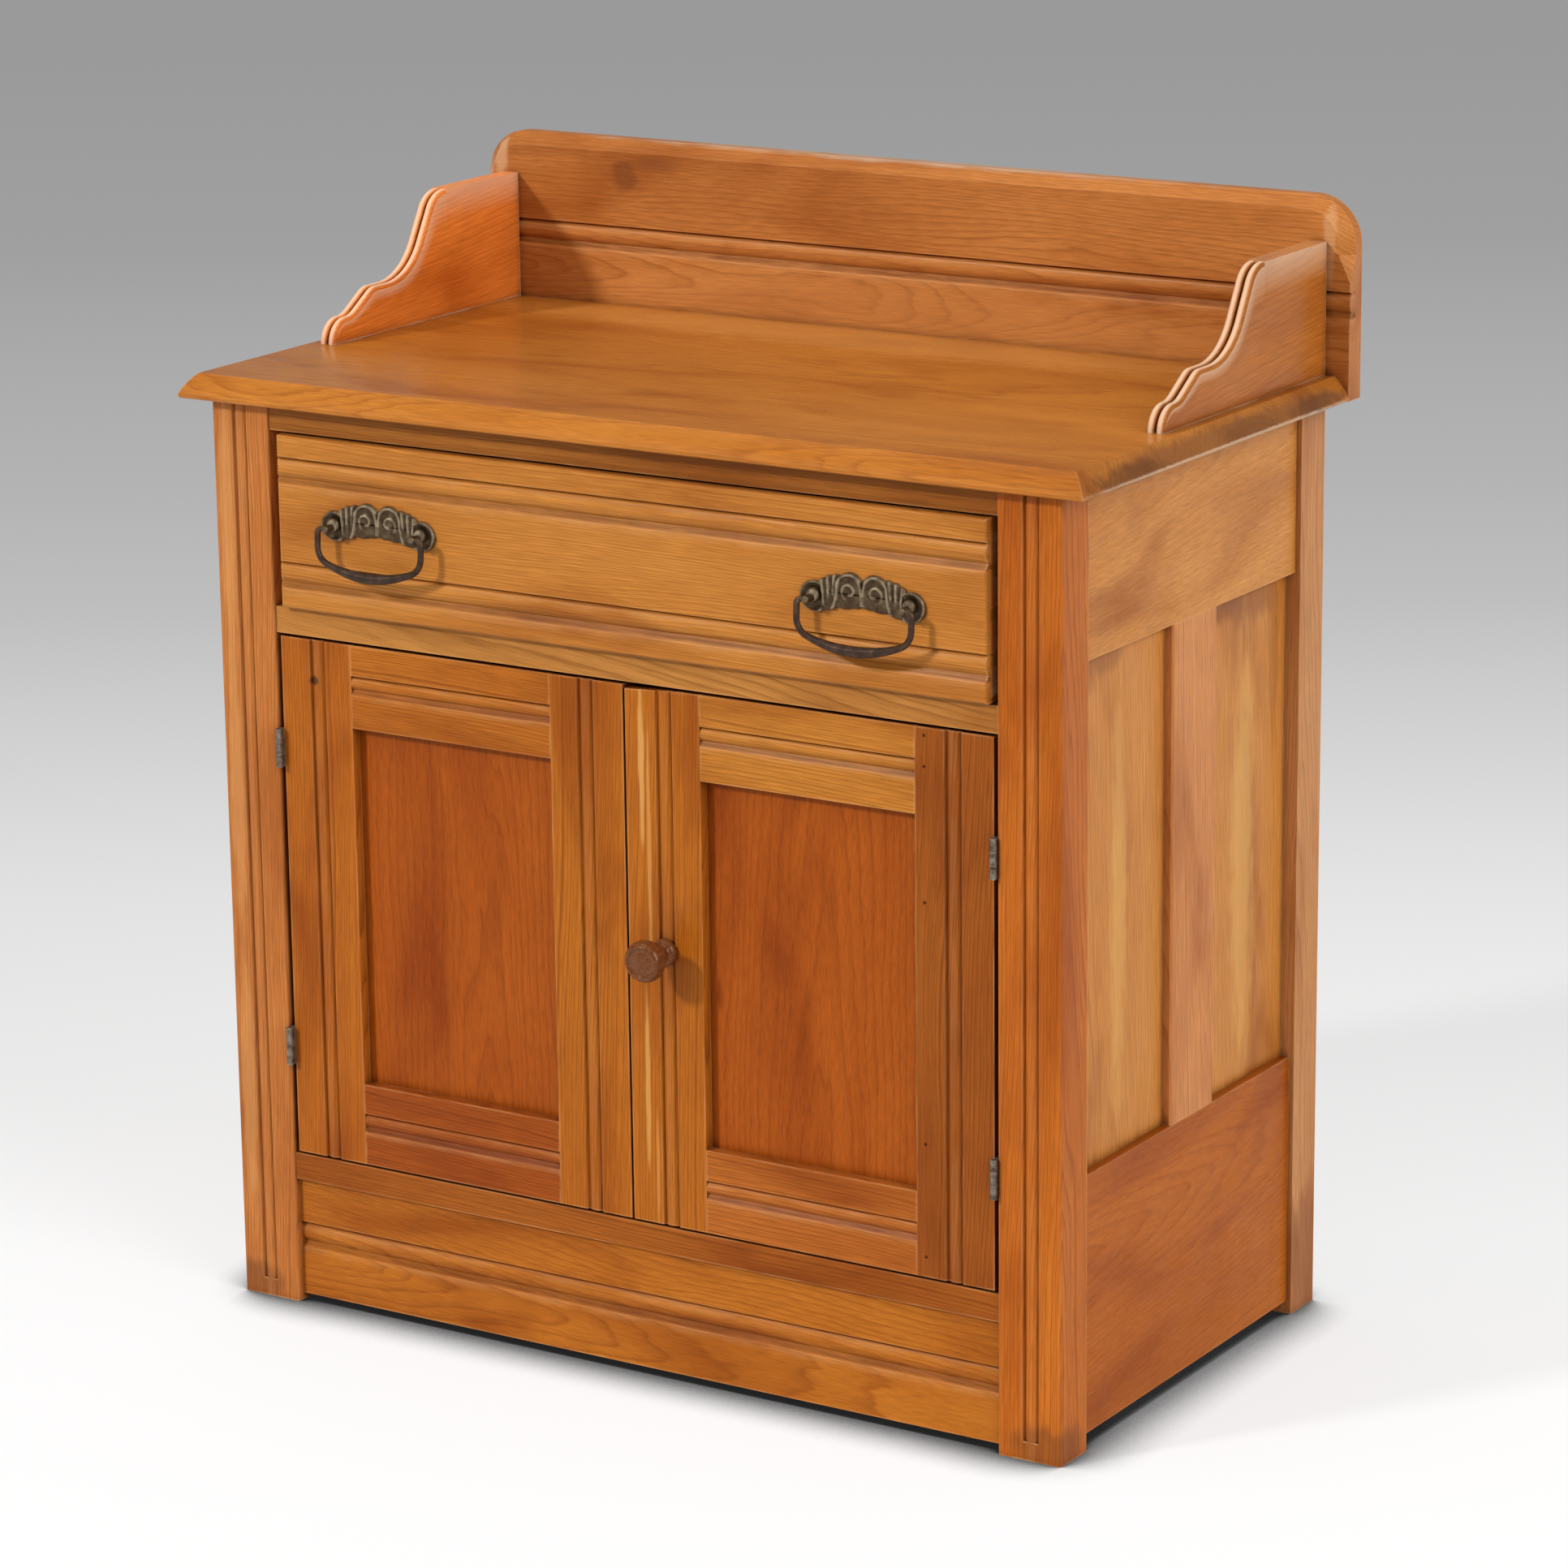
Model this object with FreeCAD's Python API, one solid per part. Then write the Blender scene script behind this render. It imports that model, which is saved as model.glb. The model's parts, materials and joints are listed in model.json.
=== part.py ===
"""Washstand cupboard: one drawer over two doors, with a splash back and two scrolled galleries.

Frame: +X is the viewer's right, the front faces -Y, +Z is up, lengths in millimetres.
The origin lies on the floor, at the centre of the rectangle that the four posts stand in.
"""
import FreeCAD, Part
import math
import os

os.makedirs("parts", exist_ok=True)
Vec = FreeCAD.Vector
AIR = 1.0                        # how far a cutting tool reaches past the wood it leaves
ROD_FACETS = 12                  # flats that stand for the round of a small pin, bore, shank or knuckle

# ---- carcass ---------------------------------------------------------------------------------
CASE_WIDTH = 762.0               # over the posts
CASE_DEPTH = 416.5               # front of the front posts to back of the rear posts
CASE_HEIGHT = 741.0              # floor to underside of the top
FRONT_POST_WIDTH = 54.0
REAR_POST_WIDTH = 39.0
POST_DEPTH = 39.0
POST_ROUNDING = 2.0              # worn outer edges of the front posts
POST_BEAD_CENTRE = 28.0          # from the post's inner face to the quirk beside its bead
POST_BEAD_STOP = 15.0            # height above the floor where the post's bead ends
FRAME_THICKNESS = 20.0           # rails, plinth and muntins
FRONT_RAIL_RECESS = 2.3          # behind the faces of the front posts
TOP_RAIL_HEIGHT = 20.6
DRAWER_OPENING_HEIGHT = 140.8    # between the top rail and the middle rail
MIDDLE_RAIL_HEIGHT = 21.1
BOTTOM_RAIL_TOP = 127.0
BOTTOM_RAIL_HEIGHT = 22.5
PLINTH_RECESS = 6.0
PLINTH_FLOOR_GAP = 6.0
PLINTH_BEAD_HEIGHT = 66.0        # height above the floor of the quirk of the plinth's bead
SIDE_RECESS = 4.5                # side rails and muntins behind the outer faces of the posts
SIDE_TOP_RAIL_HEIGHT = 131.5
SIDE_BOTTOM_RAIL_TOP = 216.0
SIDE_FLOOR_GAP = 10.5
SIDE_MUNTIN_WIDTH = 69.4
SIDE_MUNTIN_SHIFT = 5.0          # towards the back
SIDE_MUNTIN_CHAMFER = 1.5
SIDE_PANEL_RECESS = 8.0          # behind the faces of the side rails
PANEL_THICKNESS = 8.0
PANEL_LAP = 8.0                  # how far a panel stands in its grooves
PANEL_PLAY = 1.0                 # room for the panel to swell at the bottom of a groove
FRONT_TENON_LENGTH = 25.0
FRONT_TENON_THICKNESS = 8.0
SIDE_TENON_LENGTH = 20.0
REAR_TENON_LENGTH = 15.0
RAIL_TENON_SHOULDER = 3.0        # above and below the tenon of a narrow rail
BOARD_TENON_SHOULDER = 12.0      # the same on a wide board
REAR_RAIL_HEIGHT = 58.0
BACK_BOARD_THICKNESS = 10.0
BACK_BOARD_COUNT = 5
BACK_REBATE_WIDTH = 12.0
BACK_BOARD_GAP = 0.6
FLOOR_THICKNESS = 15.0
FLOOR_UPSTAND = 6.0              # above the bottom rail, where it stops the doors
CLEAT_SIZE = 20.0
GLUE_BLOCK_COUNT = 4
GLUE_BLOCK_LENGTH = 50.0
GLUE_BLOCK_SPACING = 170.0

# ---- top, splash back and galleries ----------------------------------------------------------
TOP_THICKNESS = 19.0
TOP_SIDE_OVERHANG = 23.3
TOP_FRONT_OVERHANG = 12.5
TOP_BEVEL_WIDTH = 12.0
TOP_NOSE_HEIGHT = 3.5            # upright part of the edge below the bevel
TOP_NOSE_ROUNDING = 1.0
TOP_BEVEL_BULGE = 1.0
BACKSPLASH_THICKNESS = 20.0
BACKSPLASH_HEIGHT = 157.0        # above the underside of the top
BACKSPLASH_LAP = 7.1             # how far it rests on the rear posts
BACKSPLASH_CORNER = 38.0
BACKSPLASH_CHAMFER = 10.0
BACKSPLASH_CHAMFER_END = 89.0    # height above the underside of the top where it runs out
BACKSPLASH_CHAMFER_RUNOUT = 24.0
BACKSPLASH_BEAD_HEIGHT = 83.8    # height above the underside of the top of the bead's quirk
GALLERY_THICKNESS = 15.0
GALLERY_INSET = 20.3             # from the side edge of the top
GALLERY_LENGTH = 264.4
GALLERY_HEIGHT = 104.0
GALLERY_NOSE = 20.0              # radius of the round front end
GALLERY_STEP_HEIGHT = 38.6
GALLERY_STEP_START = 62.0        # from the front end to the flat step
GALLERY_STEP_LENGTH = 15.0
GALLERY_RISE_END = 160.0         # from the front end to the head of the upper ogee
LOW_OGEE = (24.0, 18.0)          # radii of its hollow and its round
HIGH_OGEE = (54.0, 24.5)
REED_RADIUS = 3.5
REED_SPACING = 7.7
REED_FACETS = 6                  # flats round a reed, as the scratch stock leaves them

# ---- beads: quirk width, bead width, flank width, depth --------------------------------------
WIDE_BEAD = (1.4, 15.0, 6.0, 3.0)
RAIL_BEAD = (1.0, 10.3, 4.7, 2.4)
POST_BEAD = (1.4, 11.0, 1.6, 2.2)
STILE_BEAD = (1.3, 12.0, 1.5, 2.2)
BEAD_CROWN = 0.3                 # the crest of a bead stays this far under the face

# ---- drawer ----------------------------------------------------------------------------------
DRAWER_LEFT_GAP = 11.0           # the drawer sits nearer to the right post
DRAWER_RIGHT_GAP = 6.0
DRAWER_FRONT_THICKNESS = 20.0
DRAWER_PROUD = 5.0               # its face ahead of the posts
DRAWER_GAP_BELOW = 1.4
DRAWER_GAP_ABOVE = 1.8
DRAWER_FRONT_ROUNDING = 2.5
DRAWER_REAR_CLEARANCE = 28.5     # from the closed drawer to the rear rail
DRAWER_SIDE_THICKNESS = 12.0
DRAWER_SIDE_LIFT = 0.3           # running clearance over the runners
DRAWER_SIDE_CLEARANCE = 1.5      # between a side and its guide
DRAWER_TOP_CLEARANCE = 8.0       # sides and back below the top rail
DRAWER_KICKER_CLEARANCE = 2.0
DRAWER_BOTTOM_THICKNESS = 8.0
DRAWER_BOTTOM_HEIGHT = 12.0      # underside of the bottom board above the edge of the sides
DRAWER_GROOVE_DEPTH = 6.0
DRAWER_BEAD_MARGIN = 18.3        # from the top edge of the front to the upper quirk
DRAWER_BEAD_SPACING = 83.0
TAIL_COUNT = 4
TAIL_ROOT = 18.0                 # width of a dovetail at its root
TAIL_SLOPE = 1.0 / 6.0
TAIL_LAP = 7.0                   # wood left in front of the half-blind tails
RUNNER_THICKNESS = 20.0
RUNNER_WIDTH_UNDER_SIDE = 20.0   # bearing inside the drawer's outer face
GUIDE_HEIGHT = 25.0

# ---- pulls: u runs along the drawer, w upwards, d outwards from its face ----------------------
# Each half of a plate mirrors the other, so its points give u away from the middle.
PULL_PLACES = ((-221.3, 66.4), (215.0, 72.4))     # from the drawer's middle, and below its top edge
PULL_SPACING = 82.0              # between the two posts of a pull
PLATE_THICKNESS = 3.0
PLATE_RAISE = 3.8                # origin of the plate's drawing above the posts
BOSS_RADIUS = 5.6                # low dome round the foot of a post
BOSS_WALL = 1.8                  # upright part of the dome above the plate
BOSS_HEIGHT = 3.6                # all of the dome above the plate
POST_RADIUS = 3.4
POST_PROUD = 15.5                # straight part of the post, from the drawer's face
POST_TIP_RADIUS = 2.0            # flat tip left by the slope round it
POST_TIP_PROUD = 17.0
PIVOT_PROUD = 13.5
PULL_SHANK_RADIUS = 2.0
PULL_SHANK_END = 6.0             # past the back of the drawer front, where a nut holds it
BAIL_HALF_WIDTH = 49.0
BAIL_DROP = 34.5
BAIL_ELBOW = 4.1                 # bend from the pin into the arm
BAIL_ARM = 14.0                  # where the corner begins below the pivot
BAIL_CORNER = 14.0
BAIL_ARM_RADIUS = 2.4
BAIL_GRIP_RADIUS = 4.4
BAIL_FACETS = 6                  # flats round its filed section
BAIL_PIN_RADIUS = 1.6
BAIL_PIN_CLEARANCE = 0.08
BAIL_PIN_LENGTH = 5.9
BAIL_TILT = 3.0                  # degrees that the hanging bail stands off the drawer
PLATE_TOP = ((0.0, 11.5), (19.0, 14.0), (26.0, 13.0), (32.0, 11.0), (37.5, 7.5))
PLATE_TOP_RISES = (4.6, 1.2, 1.2, 1.2)
PLATE_END = (53.5, -4.0)
PLATE_FOOT = ((41.0, -15.0), (32.0, -13.0), (21.5, -10.0), (8.4, -9.5), (0.0, -7.5))
PLATE_FOOT_RISE = 1.2
PLATE_FLUTES = (((20.0, 14.0), (21.5, -10.0)), ((26.0, 13.0), (27.0, -11.5)), ((32.0, 11.0), (32.0, -13.0)))
SCROLL_OFFSET = 11.0
SCROLL_HEIGHT = 3.0
SCROLL_RADII = (8.6, 5.8)
RIDGE_WIDTH = 2.2
RIDGE_HEIGHT = 1.6
FLUTE_WIDTH = 2.6
FLUTE_DEPTH = 1.6

# ---- doors -----------------------------------------------------------------------------------
DOOR_THICKNESS = 22.0
DOOR_RECESS = 2.2                # behind the faces of the posts
DOOR_POST_GAP = 4.0
DOOR_MEETING_GAP = 2.2
DOOR_TOP_GAP = 2.5
DOOR_BOTTOM_GAP = 2.0
STILE_WIDTH = 67.0
DOOR_RAIL_HEIGHT = 67.0
DOOR_PANEL_RECESS = 9.5
DOOR_TENON_LENGTH = 35.0
DOOR_STOP_CLEARANCE = 0.4        # between a closed door and the floor's front edge
DOOR_RAIL_BEAD_MARGIN = 25.5     # from the top edge of a rail to its bead's quirk
STILE_BEAD_MARGIN = 28.5         # from the outer edge of a stile to its bead's quirk
PLANED_LENGTH = 50.0             # top corner of the right door that was planed to clear
PLANED_DEPTH = 3.0

# ---- hinges ----------------------------------------------------------------------------------
HINGE_LENGTH = 31.0
HINGE_HEIGHTS = (74.0, 321.0)    # lower ends above the foot of the doors
HINGE_PROUD = 2.5                # pin axis ahead of the posts' faces
KNUCKLE_RADIUS = 2.75
HINGE_PIN_RADIUS = 1.25
HINGE_CLEARANCE = 0.05
KNUCKLE_GAP = 0.35
LEAF_THICKNESS = 1.6
LEAF_WIDTH = 19.0                # from the pin axis

# ---- knob, spindle and turn-buttons ----------------------------------------------------------
KNOB_ABOVE_DOOR_FOOT = 221.0
KNOB_PROJECTION = 37.0
KNOB_RADIUS = 18.5
KNOB_COLLAR_RADIUS = 11.0
KNOB_NECK_RADIUS = 6.5
KNOB_COLLAR_LENGTH = 5.0
KNOB_NECK_HEIGHT = 12.5          # where the bell begins, from the door
KNOB_RIM_START = 27.0            # from the door
KNOB_RIM_END = 32.0
KNOB_FACE_RADIUS = 12.0          # flat of the face inside its rounded rim
KNOB_FACE_CLEARANCE = 0.3        # between the knob's foot and the door
SPINDLE_RADIUS = 4.0
SPINDLE_CLEARANCE = 0.1
BUTTON_THICKNESS = 9.0
BUTTON_WIDTH = 20.0
BUTTON_CLIP = 5.0
BUTTON_CLEARANCE = 0.4           # between a turn-button and the door behind it
CATCH_REACH = 54.0               # from the spindle to the tip of the right door's catch
CATCH_TAIL = 12.0
BUTTON_LENGTH = 72.0
BUTTON_DROP = 20.0               # from the left door's top edge to the button's pivot
BUTTON_SCREW_RADIUS = 2.0
BUTTON_SCREW_CLEARANCE = 0.08
BUTTON_SCREW_HEAD_RADIUS = 4.5
BUTTON_SCREW_HEAD = 2.6
BUTTON_SCREW_DEPTH = 15.0

# ---- planes worked out from the sizes above --------------------------------------------------
SIDES = (("left", -1), ("right", 1))
HALF_WIDTH = CASE_WIDTH / 2
FRONT = -CASE_DEPTH / 2
REAR = CASE_DEPTH / 2
FRONT_POST_BACK = FRONT + POST_DEPTH
REAR_POST_FRONT = REAR - POST_DEPTH
OPENING = HALF_WIDTH - FRONT_POST_WIDTH           # half the clear width between the front posts
REAR_OPENING = HALF_WIDTH - REAR_POST_WIDTH
RAIL_FACE = FRONT + FRONT_RAIL_RECESS
SIDE_FACE = HALF_WIDTH - SIDE_RECESS
SIDE_INSIDE = SIDE_FACE - FRAME_THICKNESS
SIDE_PANEL_FACE = SIDE_FACE - SIDE_PANEL_RECESS
SIDE_PANEL_BACK = SIDE_PANEL_FACE - PANEL_THICKNESS
SIDE_TOP_RAIL_BOTTOM = CASE_HEIGHT - SIDE_TOP_RAIL_HEIGHT
MUNTIN_FRONT = SIDE_MUNTIN_SHIFT - SIDE_MUNTIN_WIDTH / 2
MUNTIN_BACK = SIDE_MUNTIN_SHIFT + SIDE_MUNTIN_WIDTH / 2
TOP_RAIL_BOTTOM = CASE_HEIGHT - TOP_RAIL_HEIGHT
MIDDLE_RAIL_TOP = TOP_RAIL_BOTTOM - DRAWER_OPENING_HEIGHT
MIDDLE_RAIL_BOTTOM = MIDDLE_RAIL_TOP - MIDDLE_RAIL_HEIGHT
BOTTOM_RAIL_BOTTOM = BOTTOM_RAIL_TOP - BOTTOM_RAIL_HEIGHT
BACK_BOARD_FACE = REAR - BACK_BOARD_THICKNESS
FLOOR_TOP = BOTTOM_RAIL_TOP + FLOOR_UPSTAND
FLOOR_UNDERSIDE = FLOOR_TOP - FLOOR_THICKNESS
REAR_RAIL_BOTTOM = FLOOR_UNDERSIDE - REAR_RAIL_HEIGHT
TOP_SURFACE = CASE_HEIGHT + TOP_THICKNESS
TOP_HALF_WIDTH = HALF_WIDTH + TOP_SIDE_OVERHANG
BACKSPLASH_FACE = REAR - BACKSPLASH_LAP
DOOR_FACE = FRONT + DOOR_RECESS
DOOR_BACK = DOOR_FACE + DOOR_THICKNESS
DOOR_OUTER = OPENING - DOOR_POST_GAP
DOOR_INNER = DOOR_MEETING_GAP / 2
DOOR_TOP = MIDDLE_RAIL_BOTTOM - DOOR_TOP_GAP
DOOR_BOTTOM = BOTTOM_RAIL_TOP + DOOR_BOTTOM_GAP
DOOR_PANEL_FACE = DOOR_FACE + DOOR_PANEL_RECESS
DOOR_PANEL_BACK = DOOR_PANEL_FACE + PANEL_THICKNESS
FLOOR_FRONT = DOOR_BACK + DOOR_STOP_CLEARANCE
DRAWER_WIDTH = 2 * OPENING - DRAWER_LEFT_GAP - DRAWER_RIGHT_GAP
DRAWER_SHIFT = (DRAWER_LEFT_GAP - DRAWER_RIGHT_GAP) / 2    # of its middle, to the right
DRAWER_FACE = FRONT - DRAWER_PROUD
DRAWER_FRONT_BACK = DRAWER_FACE + DRAWER_FRONT_THICKNESS
DRAWER_BACK_REAR = BACK_BOARD_FACE - FRAME_THICKNESS - DRAWER_REAR_CLEARANCE
DRAWER_BACK_FRONT = DRAWER_BACK_REAR - DRAWER_SIDE_THICKNESS
DRAWER_SIDE_BOTTOM = MIDDLE_RAIL_TOP + DRAWER_SIDE_LIFT
DRAWER_SIDE_TOP = TOP_RAIL_BOTTOM - DRAWER_TOP_CLEARANCE
DRAWER_FLOOR = DRAWER_SIDE_BOTTOM + DRAWER_BOTTOM_HEIGHT
DRAWER_FLOOR_TOP = DRAWER_FLOOR + DRAWER_BOTTOM_THICKNESS
DRAWER_FRONT_TOP = TOP_RAIL_BOTTOM - DRAWER_GAP_ABOVE
DRAWER_FRONT_BOTTOM = MIDDLE_RAIL_TOP + DRAWER_GAP_BELOW
PULL_CENTRES = [(DRAWER_SHIFT + along, DRAWER_FRONT_TOP - below) for along, below in PULL_PLACES]
PIN_X = (OPENING + DOOR_OUTER) / 2
PIN_Y = FRONT - HINGE_PROUD
KNOB_X = DOOR_INNER + STILE_WIDTH / 2
KNOB_HEIGHT = DOOR_BOTTOM + KNOB_ABOVE_DOOR_FOOT


# ---- helpers ---------------------------------------------------------------------------------
def box(x, y, z):
    """Rectangular solid between the two limits given on each axis."""
    corner = Vec(min(x), min(y), min(z))
    return Part.makeBox(abs(x[1] - x[0]), abs(y[1] - y[0]), abs(z[1] - z[0]), corner)


def joined(solid, others):
    """One solid made of a piece and what grows out of it, such as its tenons."""
    return solid.fuse(others).removeSplitter()


def without(solid, tools):
    """The solid with every tool cut away from it."""
    for tool in tools:
        solid = solid.cut(tool)
    return solid


def prism(points, travel):
    """Solid made by moving a flat polygon along a vector."""
    return Part.Face(Part.makePolygon(points + [points[0]])).extrude(travel)


def arc(start, middle, end):
    return Part.Arc(start, middle, end).toShape()


def round_section(centre, first, second, radius, count):
    """Closed polygon of count sides round a centre, in the plane of two unit vectors."""
    corners = []
    for step in range(count):
        turn = 2 * math.pi * step / count
        corners.append(centre + first * (radius * math.cos(turn)) + second * (radius * math.sin(turn)))
    return Part.makePolygon(corners + [corners[0]])


def rod(start, travel, radius):
    """Straight bar along a vector, with ROD_FACETS flats drawn inside its round."""
    along = Vec(travel).normalize()
    first = along.cross(Vec(along.y, along.z, along.x)).normalize()
    ring = round_section(start, first, along.cross(first), radius, ROD_FACETS)
    return Part.Face(ring).extrude(travel)


def bore(start, travel, radius):
    """Cutter for a hole that a round bar of the radius just fills: its flats lie outside the round."""
    return rod(start, travel, radius / math.cos(math.pi / ROD_FACETS))


def edges_on(solid, axis, level, direction):
    """Straight edges that run along one axis and lie on a plane across another."""
    found = []
    for edge in solid.Edges:
        ends = [vertex.Point for vertex in edge.Vertexes]
        on_plane = all(abs(getattr(end, axis) - level) < 1e-6 for end in ends)
        run = ends[-1] - ends[0]
        along = abs(getattr(run, direction)) > run.Length * 0.999
        if on_plane and along:
            found.append(edge)
    return found


def bead_cutter(start, travel, across, inward, sizes):
    """Waste beside and over a bead: a sharp quirk, the round bead and a sloping flank.

    start lies on the face at the quirk, and the outline runs from there along across.
    """
    quirk, bead, flank, depth = sizes

    def at(along, deep):
        return start + across * along + inward * deep

    corners = [at(bead, depth), at(bead + flank, 0), at(bead + flank, -AIR)]
    corners += [at(-quirk, -AIR), at(-quirk, 0), at(0, depth)]
    crest = arc(at(0, depth), at(bead / 2, BEAD_CROWN), at(bead, depth))
    outline = Part.Wire([crest] + Part.makePolygon(corners).Edges)
    return Part.Face(outline).extrude(travel)


def level_bead(x, face, quirk_height, sizes):
    """Cutter for a bead that runs along X on a face turned to the front."""
    start = Vec(x[0] - AIR, face, quirk_height)
    travel = Vec(x[1] - x[0] + 2 * AIR, 0, 0)
    return bead_cutter(start, travel, Vec(0, 0, -1), Vec(0, 1, 0), sizes)


def upright_bead(quirk_x, toward, face, z, sizes):
    """Cutter for a bead that runs along Z on a face turned to the front."""
    start = Vec(quirk_x, face, z[0])
    travel = Vec(0, 0, z[1] - z[0])
    return bead_cutter(start, travel, Vec(toward, 0, 0), Vec(0, 1, 0), sizes)


def grown_panel(x, y, z, thin_axis):
    """Groove for a panel: its own thickness, and play beyond its edges."""
    limits = {"x": x, "y": y, "z": z}
    for axis, pair in limits.items():
        if axis != thin_axis:
            limits[axis] = (min(pair) - PANEL_PLAY, max(pair) + PANEL_PLAY)
    return box(limits["x"], limits["y"], limits["z"])


# ---- carcass ---------------------------------------------------------------------------------
def front_rail(z, recess, shoulder, bead_height=None):
    """Rail or plinth between the front posts, with the tenons at its two ends."""
    face = FRONT + recess
    back = face + FRAME_THICKNESS
    body = box((-OPENING, OPENING), (face, back), z)
    if bead_height is not None:
        body = body.cut(level_bead((-OPENING, OPENING), face, bead_height, WIDE_BEAD))
    tenon_face = face + (FRAME_THICKNESS - FRONT_TENON_THICKNESS) / 2
    tenon_y = (tenon_face, tenon_face + FRONT_TENON_THICKNESS)
    tenon_z = (z[0] + shoulder, z[1] - shoulder)
    tenons = []
    for _, side in SIDES:
        tenon_x = (side * OPENING, side * (OPENING + FRONT_TENON_LENGTH))
        tenons.append(box(tenon_x, tenon_y, tenon_z))
    return joined(body, tenons), tenons


def side_rail(side, z, shoulder):
    """Rail between a front and a rear post, with tenons in the plane of the panels."""
    body = box((side * SIDE_INSIDE, side * SIDE_FACE), (FRONT_POST_BACK, REAR_POST_FRONT), z)
    tenon_x = (side * SIDE_PANEL_BACK, side * SIDE_PANEL_FACE)
    tenon_z = (z[0] + shoulder, z[1] - shoulder)
    front = box(tenon_x, (FRONT_POST_BACK - SIDE_TENON_LENGTH, FRONT_POST_BACK), tenon_z)
    rear = box(tenon_x, (REAR_POST_FRONT, REAR_POST_FRONT + SIDE_TENON_LENGTH), tenon_z)
    return joined(body, [front, rear]), [front, rear]


def side_muntin(side):
    """Upright between the side panels, tenoned into both side rails."""
    y = (MUNTIN_FRONT, MUNTIN_BACK)
    z = (SIDE_BOTTOM_RAIL_TOP, SIDE_TOP_RAIL_BOTTOM)
    body = box((side * SIDE_INSIDE, side * SIDE_FACE), y, z)
    arrises = edges_on(body, "x", side * SIDE_FACE, "z")
    body = body.makeChamfer(SIDE_MUNTIN_CHAMFER, arrises)
    tenon_x = (side * SIDE_PANEL_BACK, side * SIDE_PANEL_FACE)
    tenon_y = (MUNTIN_FRONT + BOARD_TENON_SHOULDER, MUNTIN_BACK - BOARD_TENON_SHOULDER)
    lower = box(tenon_x, tenon_y, (z[0] - SIDE_TENON_LENGTH, z[0]))
    upper = box(tenon_x, tenon_y, (z[1], z[1] + SIDE_TENON_LENGTH))
    return joined(body, [lower, upper]), [lower, upper]


def side_panel_limits(side):
    """Limits of the two panels of one side, ahead of the muntin and behind it."""
    x = (side * SIDE_PANEL_BACK, side * SIDE_PANEL_FACE)
    z = (SIDE_BOTTOM_RAIL_TOP - PANEL_LAP, SIDE_TOP_RAIL_BOTTOM + PANEL_LAP)
    ahead = (FRONT_POST_BACK - PANEL_LAP, MUNTIN_FRONT + PANEL_LAP)
    behind = (MUNTIN_BACK - PANEL_LAP, REAR_POST_FRONT + PANEL_LAP)
    return [(x, ahead, z), (x, behind, z)]


def front_post(side):
    """Square post with a stopped bead down its face, before its mortises are cut."""
    x = (side * OPENING, side * HALF_WIDTH)
    body = box(x, (FRONT, FRONT_POST_BACK), (0, CASE_HEIGHT))
    body = body.makeFillet(POST_ROUNDING, edges_on(body, "y", FRONT, "z"))
    quirk_x = side * (OPENING + POST_BEAD_CENTRE - POST_BEAD[1] / 2)
    bead = upright_bead(quirk_x, side, FRONT, (POST_BEAD_STOP, CASE_HEIGHT + AIR), POST_BEAD)
    return body.cut(bead)


def rear_post(side):
    """Square post with a rebate for the back boards, before its mortises are cut."""
    body = box((side * REAR_OPENING, side * HALF_WIDTH), (REAR_POST_FRONT, REAR), (0, CASE_HEIGHT))
    rebate_x = (side * (REAR_OPENING - AIR), side * (REAR_OPENING + BACK_REBATE_WIDTH))
    rebate_z = (REAR_RAIL_BOTTOM, CASE_HEIGHT + AIR)
    rebate = box(rebate_x, (BACK_BOARD_FACE, REAR + AIR), rebate_z)
    return body.cut(rebate)


def rear_rail(z):
    """Rail between the rear posts that the back boards are nailed to."""
    y = (BACK_BOARD_FACE - FRAME_THICKNESS, BACK_BOARD_FACE)
    body = box((-REAR_OPENING, REAR_OPENING), y, z)
    middle = (y[0] + y[1]) / 2
    tenon_y = (middle - FRONT_TENON_THICKNESS / 2, middle + FRONT_TENON_THICKNESS / 2)
    tenon_z = (z[0] + BOARD_TENON_SHOULDER, z[1] - BOARD_TENON_SHOULDER)
    tenons = []
    for _, side in SIDES:
        tenon_x = (side * REAR_OPENING, side * (REAR_OPENING + REAR_TENON_LENGTH))
        tenons.append(box(tenon_x, tenon_y, tenon_z))
    return joined(body, tenons), tenons


def back_boards():
    """Upright boards side by side, nailed over the rear rails."""
    half = REAR_OPENING + BACK_REBATE_WIDTH
    pitch = 2 * half / BACK_BOARD_COUNT
    boards = []
    for index in range(BACK_BOARD_COUNT):
        left = -half + index * pitch
        x = (left + BACK_BOARD_GAP / 2, left + pitch - BACK_BOARD_GAP / 2)
        boards.append(box(x, (BACK_BOARD_FACE, REAR), (REAR_RAIL_BOTTOM, CASE_HEIGHT)))
    return Part.makeCompound(boards)


def cupboard_floor(posts):
    """Board between the side frames, notched round the four posts; its front edge stops the doors."""
    y = (FLOOR_FRONT, BACK_BOARD_FACE)
    board = box((-SIDE_INSIDE, SIDE_INSIDE), y, (FLOOR_UNDERSIDE, FLOOR_TOP))
    return without(board, posts)


def floor_cleats():
    """Strips under the floor, on the inner faces of the lower side rails."""
    cleats = []
    for _, side in SIDES:
        x = (side * (SIDE_INSIDE - CLEAT_SIZE), side * SIDE_INSIDE)
        z = (FLOOR_UNDERSIDE - CLEAT_SIZE, FLOOR_UNDERSIDE)
        cleats.append(box(x, (FRONT_POST_BACK, REAR_POST_FRONT), z))
    return Part.makeCompound(cleats)


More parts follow.
